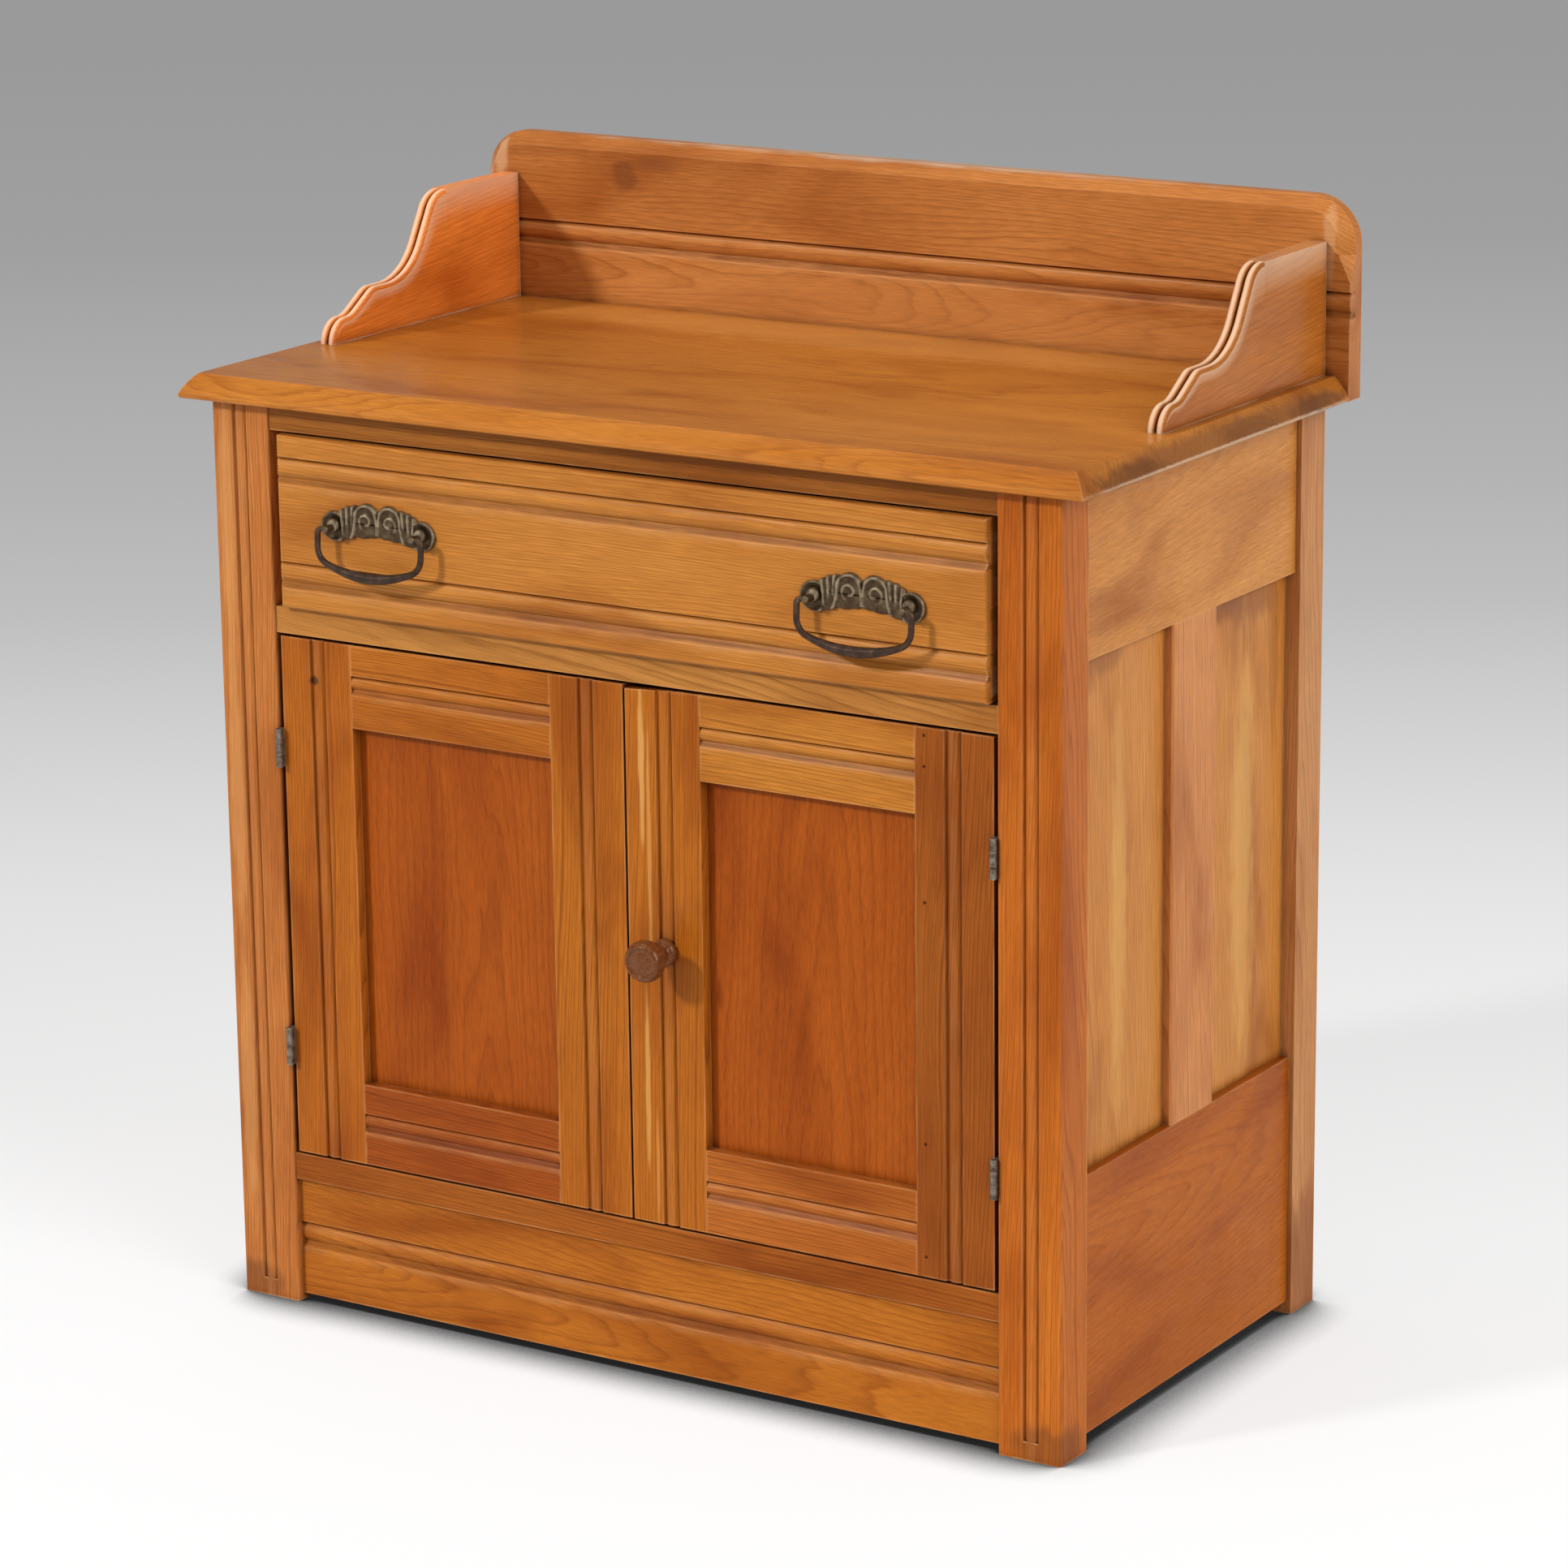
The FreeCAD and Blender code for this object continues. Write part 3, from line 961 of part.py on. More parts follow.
def build_doors(nodes):
    """Two framed doors; the right one carries the knob and is bored for its spindle."""
    rails_z = {"top": (DOOR_TOP - DOOR_RAIL_HEIGHT, DOOR_TOP)}
    rails_z["bottom"] = (DOOR_BOTTOM, DOOR_BOTTOM + DOOR_RAIL_HEIGHT)
    lap = STILE_WIDTH - PANEL_LAP
    panel_y = (DOOR_PANEL_FACE, DOOR_PANEL_BACK)
    panel_z = (rails_z["bottom"][1] - PANEL_LAP, rails_z["top"][0] + PANEL_LAP)
    for word, side in SIDES:
        panel_x = (side * (DOOR_INNER + lap), side * (DOOR_OUTER - lap))
        groove = grown_panel(panel_x, panel_y, panel_z, "y")
        stile_cuts = [groove]
        for place, z in rails_z.items():
            rail, tenons = door_rail(side, z)
            nodes["door_" + word + "_rail_" + place] = rail.cut(groove)
            stile_cuts += tenons
        hinge_stile = without(door_stile(side, DOOR_OUTER, -1), stile_cuts)
        meeting_stile = without(door_stile(side, DOOR_INNER, 1), stile_cuts)
        if word == "right":
            start = Vec(KNOB_X, DOOR_FACE - AIR, KNOB_HEIGHT)
            depth = DOOR_THICKNESS + 2 * AIR
            spindle_hole = Part.makeCylinder(SPINDLE_RADIUS + SPINDLE_CLEARANCE, depth, start, Vec(0, 1, 0))
            meeting_stile = without(meeting_stile, [spindle_hole, planed_corner()])
        nodes["door_" + word + "_stile_hinge"] = hinge_stile
        nodes["door_" + word + "_stile_meeting"] = meeting_stile
        nodes["door_" + word + "_panel"] = box(panel_x, panel_y, panel_z)
    pivot = left_button_pivot()
    hole = rod(pivot, Vec(0, -BUTTON_SCREW_DEPTH, 0), BUTTON_SCREW_RADIUS)
    nodes["door_left_rail_top"] = nodes["door_left_rail_top"].cut(hole)


# ---- hinges ----------------------------------------------------------------------------------
def hinge(side, bottom):
    """Butt hinge: the post leaf with two outer knuckles and the fixed pin, and the door leaf."""
    axis_x = side * PIN_X
    top = bottom + HINGE_LENGTH
    middle = (bottom + HINGE_LENGTH / 3, top - HINGE_LENGTH / 3)
    room = KNUCKLE_RADIUS + KNUCKLE_GAP

    def upright(radius, z, form=rod):
        return form(Vec(axis_x, PIN_Y, z[0]), Vec(0, 0, z[1] - z[0]), radius)

    def clearing(z):
        around = (z[0] - KNUCKLE_GAP, z[1] + KNUCKLE_GAP)
        return box((axis_x - room, axis_x + room), (PIN_Y - room, PIN_Y + room), around)

    leaf_y = (PIN_Y, PIN_Y + LEAF_WIDTH)
    outer = [(bottom, middle[0]), (middle[1], top)]
    post_leaf = box((side * OPENING, side * (OPENING - LEAF_THICKNESS)), leaf_y, (bottom, top))
    post_leaf = post_leaf.cut(clearing(middle))
    post_leaf = joined(post_leaf, [upright(KNUCKLE_RADIUS, z) for z in outer])
    post_leaf = joined(post_leaf, [upright(HINGE_PIN_RADIUS, (bottom, top))])

    inner = (middle[0] + KNUCKLE_GAP / 2, middle[1] - KNUCKLE_GAP / 2)
    door_leaf = box((side * DOOR_OUTER, side * (DOOR_OUTER + LEAF_THICKNESS)), leaf_y, (bottom, top))
    door_leaf = without(door_leaf, [clearing(z) for z in outer])
    door_leaf = joined(door_leaf, [upright(KNUCKLE_RADIUS, inner)])
    eye = upright(HINGE_PIN_RADIUS + HINGE_CLEARANCE, (bottom - AIR, top + AIR), bore)
    return post_leaf, door_leaf.cut(eye)


def build_hinges(nodes):
    for word, side in SIDES:
        pairs = [hinge(side, DOOR_BOTTOM + height) for height in HINGE_HEIGHTS]
        nodes["hinge_post_leaves_" + word] = Part.makeCompound([pair[0] for pair in pairs])
        nodes["hinge_door_leaves_" + word] = Part.makeCompound([pair[1] for pair in pairs])


# ---- knob and turn-buttons -------------------------------------------------------------------
def knob():
    """Knob turned in one piece with the dowel that passes through the stile."""
    dowel_end = -(DOOR_THICKNESS + BUTTON_CLEARANCE + BUTTON_THICKNESS)
    profile = [(0, dowel_end), (SPINDLE_RADIUS, dowel_end), (SPINDLE_RADIUS, KNOB_FACE_CLEARANCE)]
    profile += [(KNOB_COLLAR_RADIUS, KNOB_FACE_CLEARANCE), (KNOB_COLLAR_RADIUS, KNOB_COLLAR_LENGTH)]
    profile += [(KNOB_NECK_RADIUS, KNOB_COLLAR_LENGTH), (KNOB_NECK_RADIUS, KNOB_NECK_HEIGHT)]
    profile.append((KNOB_RADIUS, KNOB_RIM_START))
    profile += [(KNOB_RADIUS, KNOB_RIM_END), (KNOB_FACE_RADIUS, KNOB_PROJECTION), (0, KNOB_PROJECTION)]
    foot = Vec(KNOB_X, DOOR_FACE, KNOB_HEIGHT)
    points = [foot + Vec(radius, -proud, 0) for radius, proud in profile]
    return Part.Face(Part.makePolygon(points + [points[0]])).revolve(foot, Vec(0, 1, 0), 360)


def clipped_bar(pivot, first, second, hole):
    """Flat bar along Z with clipped corners, reaching first above its pivot and second below it."""
    half = BUTTON_WIDTH / 2
    clip = BUTTON_CLIP
    corners = [(half - clip, first), (half, first - clip), (half, clip - second), (half - clip, -second)]
    outline = corners + [(-across, along) for across, along in reversed(corners)]
    points = [pivot + Vec(across, 0, along) for across, along in outline]
    return prism(points, Vec(0, BUTTON_THICKNESS, 0)).cut(hole)


def knob_catch():
    """Turn-button on the spindle; it hangs down when it is free of the left door."""
    pivot = Vec(KNOB_X, DOOR_BACK + BUTTON_CLEARANCE, KNOB_HEIGHT)
    hole = Part.makeCylinder(SPINDLE_RADIUS, BUTTON_THICKNESS, pivot, Vec(0, 1, 0))
    return clipped_bar(pivot, CATCH_TAIL, CATCH_REACH, hole)


def left_button_pivot():
    """Point on the back of the left door's top rail that its button turns about."""
    return Vec(-(DOOR_INNER + DOOR_OUTER) / 2, DOOR_BACK, DOOR_TOP - BUTTON_DROP)


def left_button():
    """Turn-button of the left door; level when it is free of the middle rail."""
    pivot = left_button_pivot() + Vec(0, BUTTON_CLEARANCE, 0)
    reach = BUTTON_LENGTH / 2
    hole = bore(pivot, Vec(0, BUTTON_THICKNESS, 0), BUTTON_SCREW_RADIUS + BUTTON_SCREW_CLEARANCE)
    bar = clipped_bar(pivot, reach, reach, hole)
    bar.rotate(pivot, Vec(0, 1, 0), 90)
    return bar


def left_button_screw():
    """Round-headed screw that the left button turns on."""
    pivot = left_button_pivot()
    start = pivot - Vec(0, BUTTON_SCREW_DEPTH, 0)
    under_head = BUTTON_SCREW_DEPTH + 2 * BUTTON_CLEARANCE + BUTTON_THICKNESS
    shank = rod(start, Vec(0, under_head, 0), BUTTON_SCREW_RADIUS)
    head = rod(start + Vec(0, under_head, 0), Vec(0, BUTTON_SCREW_HEAD, 0), BUTTON_SCREW_HEAD_RADIUS)
    return joined(shank, [head])


def build_fittings(nodes):
    nodes["knob"] = knob()
    nodes["knob_catch"] = knob_catch()
    nodes["left_button"] = left_button()
    nodes["left_button_screw"] = left_button_screw()


def main():
    nodes = {}
    build_carcass(nodes)
    nodes["top_board"] = top_board()
    nodes["backsplash"] = backsplash()
    for word, side in SIDES:
        nodes["gallery_" + word] = gallery(side)
    build_drawer(nodes)
    build_pulls(nodes)
    build_doors(nodes)
    build_hinges(nodes)
    build_fittings(nodes)
    for name, shape in nodes.items():
        if not shape.isValid():
            print("not valid:", name)
        print(f"{name:28s} solids {len(shape.Solids)} volume {shape.Volume / 1000:9.2f} cm3")
        shape.exportStep("parts/" + name + ".step")
    print(len(nodes), "nodes")


main()
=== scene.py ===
from functools import partial
import json
import math

import bmesh
import bpy
import numpy as np
from mathutils import Matrix, Vector


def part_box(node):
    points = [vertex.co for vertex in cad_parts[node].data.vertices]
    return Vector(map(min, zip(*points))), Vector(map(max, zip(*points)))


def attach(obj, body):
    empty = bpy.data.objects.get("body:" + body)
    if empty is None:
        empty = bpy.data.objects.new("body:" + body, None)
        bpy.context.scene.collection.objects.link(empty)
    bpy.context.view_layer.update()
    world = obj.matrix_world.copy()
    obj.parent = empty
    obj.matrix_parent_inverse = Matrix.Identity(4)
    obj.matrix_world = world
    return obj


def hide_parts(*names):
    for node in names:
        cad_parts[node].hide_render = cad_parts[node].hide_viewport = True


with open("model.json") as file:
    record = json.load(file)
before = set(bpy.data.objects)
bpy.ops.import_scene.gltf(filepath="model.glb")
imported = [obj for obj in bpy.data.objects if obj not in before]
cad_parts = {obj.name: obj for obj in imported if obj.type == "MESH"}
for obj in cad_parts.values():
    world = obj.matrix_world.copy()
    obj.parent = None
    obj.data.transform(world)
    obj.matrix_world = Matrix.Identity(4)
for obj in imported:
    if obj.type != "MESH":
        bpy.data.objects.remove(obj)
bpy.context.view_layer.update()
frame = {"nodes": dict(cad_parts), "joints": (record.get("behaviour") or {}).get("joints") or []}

# Looks of a pine washstand cupboard: varnished boards, reeded galleries, cast bail pulls, a turned knob and a
# plain studio. Shapes are worked out in millimetres and turned into metres when they become a mesh.
MM = 0.001
joints = {joint["name"]: joint for joint in frame["joints"]}
AO_SAMPLES = 6
AXES = {"x": Vector((1, 0, 0)), "y": Vector((0, 1, 0)), "z": Vector((0, 0, 1))}


# ---- shader helpers ----
def linear(code):
    """Linear colour of an sRGB hex code."""
    channels = [int(code[i:i + 2], 16) / 255 for i in (1, 3, 5)]
    return tuple(c / 12.92 if c <= 0.04045 else ((c + 0.055) / 1.055) ** 2.4 for c in channels) + (1.0,)


def add_node(tree, kind, inputs=None, stops=None, **settings):
    """Adds a shader node with its settings and gives its outputs; an input that is a socket is linked."""
    node = tree.nodes.new("ShaderNode" + kind)
    for name, value in settings.items():
        setattr(node, name, value)
    for key, value in (inputs or {}).items():
        if isinstance(value, bpy.types.NodeSocket):
            tree.links.new(value, node.inputs[key])
        else:
            node.inputs[key].default_value = value
    if stops:
        elements = node.color_ramp.elements
        while len(elements) < len(stops):
            elements.new(1.0)
        for element, (place, code) in zip(elements, stops):
            element.position = place
            element.color = linear(code)
    return node.outputs


def new_material(name):
    """Empty material and what adds nodes to it."""
    material = bpy.data.materials.new(name)
    material.use_nodes = True
    material.node_tree.nodes.clear()
    return material, partial(add_node, material.node_tree)


def dress(name, *materials):
    """Gives a CAD node its material."""
    slots = frame["nodes"][name].data.materials
    slots.clear()
    for material in materials:
        slots.append(material)


# ---- varnished pine ----
# Growth rings are cylinders round the pith, so a board cut beside it shows arches and one cut far from it
# shows straight lines. Over one ring, pale early wood turns into dark late wood that ends abruptly.
RING_SHADES = ((0.0, "#000000"), (0.35, "#2A2A2A"), (0.72, "#9A9A9A"), (0.90, "#FFFFFF"), (1.0, "#101010"))
CLOUD_SHADES = ((0.28, "#CDB49C"), (0.5, "#F2EAE2"), (0.75, "#FFFFFF"))
RAGGED = 0.7  # how far a mark's edge wanders, as a share of its radii
SEED_STEPS = (431.0, 17.0, 29.0)  # mm from one board's grain to the next, along and across it
# Colour of soil and of painted shade in quirks, corners and under beads.
GRIME_AND_SHADE = "#451D09"
# Pale colours of wear, used also for painted highlight on beads and reeds.
WORN_AND_LIT = "#DDA872"
REED_WORN_AND_LIT = "#EFD3B4"
VARNISH_TINT = "#EDB27C"
# Across a moulding, from its quirk in mm: red holds the share of soil with painted shade, in the quirks and
# under a level bead, and green the share of wear with painted highlight, on the bead and the slope below it.
LEVEL_BEAD = ((-4, "#000000"), (-1.6, "#000000"), (-0.6, "#780000"), (0.5, "#8C0000"), (1.5, "#000000"),
              (3.0, "#008400"), (5.5, "#006000"), (9, "#000000"), (13, "#600000"), (15.5, "#A80000"),
              (18.4, "#C80000"), (19.8, "#800000"), (20.8, "#008000"), (22.5, "#007000"), (27, "#000000"),
              (28, "#000000"))
TWIN_QUIRKS = ((-4, "#000000"), (-2.0, "#000000"), (-0.8, "#7A0000"), (0.6, "#7A0000"), (2.0, "#000000"),
               (3.5, "#004800"), (8.5, "#004800"), (9.8, "#000000"), (11.0, "#700000"), (12.6, "#700000"),
               (14.6, "#000000"), (28, "#000000"))


def pine(name, node, along, through, early, late, ring=3.2, pith=(45.0, 60.0), lean=(0.02, 0.03),
         wander=5.0, seed=0.0, contrast=0.95, grime_and_shade=0.85, wear=0.35, gloss=0.36, coat=0.07, marks=(),
         beads=(), crest=None, bared_and_lit=WORN_AND_LIT):
    """Varnished pine for one board.

    along and through are the board's axes of length and thickness; pith is how far the pith lies from the
    board's middle, through it and across it, in mm; lean is how far it drifts per unit of length. ring is the
    width of a growth ring and wander how far it waves, in mm. marks are (place, radii, colour, strength) of
    stains, knots, filled nail holes and some painted light and shade, in mm. beads are (axis across, place of
    the quirk, direction, scale, profile) of the mouldings on the board; each paints shade with soil into its
    quirks and highlight with wear onto its bead. crest names an attribute that says where the wood is paled
    by wear and by a painted highlight, down to the pale colour given.
    """
    material, add = new_material(name)
    low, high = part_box(node)
    middle = (low + high) / 2 / MM
    a = AXES[along]
    t = AXES[through]
    c = a.cross(t)
    object_place = add("TexCoord")["Object"]
    place = add("VectorMath", {0: object_place, 1: (1 / MM,) * 3}, operation="MULTIPLY")[0]
    local = add("VectorMath", {0: place, 1: middle}, operation="SUBTRACT")[0]
    on_length = add("VectorMath", {0: local, 1: a}, operation="DOT_PRODUCT")["Value"]
    on_depth, on_width = (
        add("VectorMath", {0: local, 1: axis + a * drift}, operation="DOT_PRODUCT")["Value"]
        for axis, drift in zip((t, c), lean))
    board = add("CombineXYZ", {0: on_length, 1: on_depth, 2: on_width})[0]
    offset = [seed * step for step in SEED_STEPS]
    shifted = add("VectorMath", {0: board, 1: offset}, operation="ADD")[0]

    def grain(length, width, detail, wave=0.0):
        """Noise drawn out along the grain, with its size along and across it in mm."""
        sizes = (1 / length, 1 / width, 1 / width)
        scaled = add("VectorMath", {0: shifted, 1: sizes}, operation="MULTIPLY")[0]
        return add("TexNoise", {"Vector": scaled, "Scale": 1.0, "Detail": detail, "Distortion": wave})

    bend, curl = (
        add("VectorMath", {0: grain(*size)["Color"], 1: (0.5,) * 3}, operation="SUBTRACT")
        for size in ((330, 55, 1.0), (70, 9, 2.0)))
    from_pith = add("VectorMath", {0: board, 1: (0, pith[0], pith[1])}, operation="ADD")[0]
    bent = add("VectorMath", {0: bend[0], 1: (0, wander * 4, wander * 4), 2: from_pith},
               operation="MULTIPLY_ADD")[0]
    curled = add("VectorMath", {0: curl[0], 1: (0, ring * 0.9, ring * 0.9), 2: bent},
                 operation="MULTIPLY_ADD")[0]
    flat = add("VectorMath", {0: curled, 1: (0, 1, 1)}, operation="MULTIPLY")[0]
    radius = add("VectorMath", {0: flat}, operation="LENGTH")["Value"]
    years = add("Math", {0: radius, 1: 1 / ring}, operation="MULTIPLY")[0]
    weather = add("TexNoise", {"W": years, "Scale": 0.23, "Detail": 1.0}, noise_dimensions="1D")[0]
    uneven = add("Math", {0: weather, 1: 3.0, 2: years}, operation="MULTIPLY_ADD")[0]
    year = add("Math", {0: uneven}, operation="FRACT")[0]
    lateness = add("ValToRGB", {0: year}, stops=RING_SHADES)[0]

    fibre = grain(26, 0.9, 3.0)[0]
    cloud = grain(210, 60, 2.0, 0.6)[0]
    strength = add("MapRange", {0: cloud, 1: 0.3, 2: 0.7, 3: 0.55 * contrast, 4: contrast})[0]
    share = add("Math", {0: lateness, 1: strength}, operation="MULTIPLY")[0]
    wood = add("MixRGB", {0: share, 1: linear(early), 2: linear(late)})[0]
    streak = add("MapRange", {0: fibre, 1: 0.3, 2: 0.7, 3: 0.80, 4: 1.13})[0]
    wood = add("VectorMath", {0: wood, 3: streak}, operation="SCALE")[0]
    depth = add("ValToRGB", {0: cloud}, stops=CLOUD_SHADES)[0]
    wood = add("MixRGB", {0: 1.0, 1: wood, 2: depth}, blend_type="MULTIPLY")[0]

    for spot, radii, code, amount in marks:
        blur = grain(30, 8, 2.0)["Color"]
        wobble = add("VectorMath", {0: blur, 1: [r * RAGGED for r in radii], 2: place},
                     operation="MULTIPLY_ADD")
        centre = [s + r * RAGGED / 2 for s, r in zip(spot, radii)]
        away = add("VectorMath", {0: wobble[0], 1: centre}, operation="SUBTRACT")[0]
        shares = [1 / r for r in radii]
        sized = add("VectorMath", {0: away, 1: shares}, operation="MULTIPLY")[0]
        far = add("VectorMath", {0: sized}, operation="LENGTH")["Value"]
        mask = add("MapRange", {0: far, 1: 0.45, 2: 1.0, 3: amount, 4: 0.0},
                   interpolation_type="SMOOTHSTEP")[0]
        wood = add("MixRGB", {0: mask, 1: wood, 2: linear(code)})[0]

    # Painted shade, standing also for soil and old varnish, darkens every quirk and corner where little open
    # air is left, and wear pales the arrises.
    patch = grain(40, 14, 3.0)[0]
    shut_in = add("AmbientOcclusion", {"Distance": 9.0 * MM}, samples=AO_SAMPLES)["AO"]
    hidden = add("MapRange", {0: shut_in, 1: 0.12, 2: 0.95, 3: 1.0, 4: 0.0})[0]
    gathered_soil_and_shade = add("Math", {0: hidden, 1: 1.6}, operation="POWER")[0]
    dirt_and_shade = add("Math", {0: gathered_soil_and_shade, 1: grime_and_shade * 1.3}, operation="MULTIPLY", use_clamp=True)[0]
    broken = add("MapRange", {0: patch, 1: 0.3, 2: 0.6, 3: 0.6, 4: 1.0})[0]
    dirt_and_shade = add("Math", {0: dirt_and_shade, 1: broken}, operation="MULTIPLY")[0]
    wood = add("MixRGB", {0: dirt_and_shade, 1: wood, 2: linear(GRIME_AND_SHADE)})[0]
    thin = add("AmbientOcclusion", {"Distance": 1.8 * MM}, samples=AO_SAMPLES, inside=True,
               only_local=True)["AO"]
    rubbed_and_lit = add("MapRange", {0: thin, 1: 0.55, 2: 0.95, 3: wear, 4: 0.0})[0]
    patchy = add("MapRange", {0: patch, 1: 0.38, 2: 0.62, 3: 0.25, 4: 1.0})[0]
    rubbed_and_lit = add("Math", {0: rubbed_and_lit, 1: patchy}, operation="MULTIPLY")[0]
    matt = dirt_and_shade
    inward = add("VectorMath", {0: local, 1: t}, operation="DOT_PRODUCT")["Value"]
    face = add("MapRange", {0: inward, 1: -1.0, 2: 1.0, 3: 1.0, 4: 0.0})[0]
    whole = add("Math", {0: broken, 1: face}, operation="MULTIPLY")[0]
    partly = add("Math", {0: patchy, 1: face}, operation="MULTIPLY")[0]
    # Each moulding paints shade with soil into its quirks and highlight with wear onto its bead.
    for across, quirk, toward, scale, profile in beads:
        first, last = profile[0][0], profile[-1][0]
        direction = AXES[across] * (toward / scale)
        passed = add("VectorMath", {0: place, 1: direction}, operation="DOT_PRODUCT")["Value"]
        begin = quirk * toward / scale
        way = add("MapRange", {0: passed, 1: begin + first, 2: begin + last})[0]
        stops = [((offset - first) / (last - first), code) for offset, code in profile]
        shades = add("ValToRGB", {0: way}, stops=stops)[0]
        seam = add("SeparateColor", {0: shades})
        soiled_and_shaded = add("Math", {0: seam[0], 1: whole}, operation="MULTIPLY")[0]
        paled_and_lit = add("Math", {0: seam[1], 1: partly}, operation="MULTIPLY")[0]
        wood = add("MixRGB", {0: soiled_and_shaded, 1: wood, 2: linear(GRIME_AND_SHADE)})[0]
        matt = add("Math", {0: matt, 1: soiled_and_shaded}, operation="MAXIMUM")[0]
        rubbed_and_lit = add("Math", {0: paled_and_lit, 1: rubbed_and_lit}, operation="MAXIMUM")[0]
    if crest:
        worn_and_lit = add("Attribute", attribute_name=crest)["Fac"]
        rubbed_and_lit = add("Math", {0: worn_and_lit, 1: rubbed_and_lit}, operation="MAXIMUM")[0]
    wood = add("MixRGB", {0: rubbed_and_lit, 1: wood, 2: linear(bared_and_lit)})[0]
    matt = add("Math", {0: matt, 1: rubbed_and_lit}, operation="MAXIMUM")[0]
    shine = add("MapRange", {0: matt, 1: 0.0, 2: 0.6, 3: 0.22, 4: 0.02})[0]

    ridge = add("Math", {0: share, 1: 0.6, 2: fibre}, operation="MULTIPLY_ADD")[0]
    bump = add("Bump", {"Strength": 0.30, "Distance": 0.18 * MM, "Height": ridge})[0]
    rough = add("MapRange", {0: patch, 1: 0.3, 2: 0.7, 3: gloss - 0.05, 4: gloss + 0.10})[0]
    shader = add("BsdfPrincipled", {
        "Base Color": wood, "Roughness": rough, "Specular IOR Level": shine,
        "Specular Tint": linear(VARNISH_TINT), "Coat Weight": coat, "Coat Roughness": 0.2, "Normal": bump})
    add("OutputMaterial", {0: shader[0]})
    return material


# ---- metal and knob ----
def cast_bronze(name, tones, pale, metallic, rubbed_and_lit_name):
    """Cast brass gone brown: dark in the hollows, a little pitted, paled by hands and by a painted rim
    highlight.
    """
    material, add = new_material(name)
    place = add("TexCoord")["Object"]
    cloud = add("TexNoise", {"Vector": place, "Scale": 1 / (6 * MM), "Detail": 4.0})[0]
    pits = add("TexNoise", {"Vector": place, "Scale": 1 / (0.7 * MM), "Detail": 2.0})[0]
    metal = add("ValToRGB", {0: cloud}, stops=list(zip((0.3, 0.55, 0.75), tones)))[0]
    shut_in = add("AmbientOcclusion", {"Distance": 2.5 * MM}, samples=AO_SAMPLES)["AO"]
    soot = add("MapRange", {0: shut_in, 1: 0.25, 2: 0.85, 3: 0.85, 4: 0.0})[0]
    metal = add("MixRGB", {0: soot, 1: metal, 2: linear("#1E1510")})[0]
    worn_and_lit = add("Attribute", attribute_name=rubbed_and_lit_name)["Fac"]
    patchy = add("MapRange", {0: cloud, 1: 0.35, 2: 0.6, 3: 0.35, 4: 1.0})[0]
    worn_and_lit = add("Math", {0: worn_and_lit, 1: patchy}, operation="MULTIPLY")[0]
    metal = add("MixRGB", {0: worn_and_lit, 1: metal, 2: linear(pale)})[0]
    bump = add("Bump", {"Strength": 0.35, "Distance": 0.12 * MM, "Height": pits})[0]
    rough = add("MapRange", {0: cloud, 1: 0.3, 2: 0.7, 3: 0.52, 4: 0.36})[0]
    shader = add("BsdfPrincipled", {
        "Base Color": metal, "Metallic": metallic, "Roughness": rough, "Normal": bump})
    add("OutputMaterial", {0: shader[0]})
    return material


def tarnished_steel(name):
    """Pressed steel hinge: dull grey with brown rust, brighter from wear on the knuckles."""
    material, add = new_material(name)
    place = add("TexCoord")["Object"]
    cloud = add("TexNoise", {"Vector": place, "Scale": 1 / (5 * MM), "Detail": 4.0})[0]
    specks = add("TexNoise", {"Vector": place, "Scale": 1 / (0.9 * MM), "Detail": 2.0})[0]
    rust = [(0.32, "#4E3A2A"), (0.5, "#776A5C"), (0.7, "#958C80")]
    metal = add("ValToRGB", {0: cloud}, stops=rust)[0]
    thin = add("AmbientOcclusion", {"Distance": 1.0 * MM}, samples=AO_SAMPLES, inside=True,
               only_local=True)["AO"]
    bright = add("MapRange", {0: thin, 1: 0.5, 2: 0.95, 3: 0.5, 4: 0.0})[0]
    metal = add("MixRGB", {0: bright, 1: metal, 2: linear("#B9B2A8")})[0]
    bump = add("Bump", {"Strength": 0.3, "Distance": 0.08 * MM, "Height": specks})[0]
    rough = add("MapRange", {0: cloud, 1: 0.3, 2: 0.7, 3: 0.62, 4: 0.40})[0]
    shader = add("BsdfPrincipled", {
        "Base Color": metal, "Metallic": 0.8, "Roughness": rough, "Normal": bump})
    add("OutputMaterial", {0: shader[0]})
    return material


# ---- meshes from grids ----
def grid_faces(rows, columns, around, start):
    """Quads of a grid of points, joined across its last and first columns when it goes around."""
    index = start + np.arange(rows * columns).reshape(rows, columns)
    if around:
        index = np.concatenate([index, index[:, :1]], axis=1)
    corners = [index[:-1, :-1], index[1:, :-1], index[1:, 1:], index[:-1, 1:]]
    return np.stack(corners, axis=-1).reshape(-1, 4)


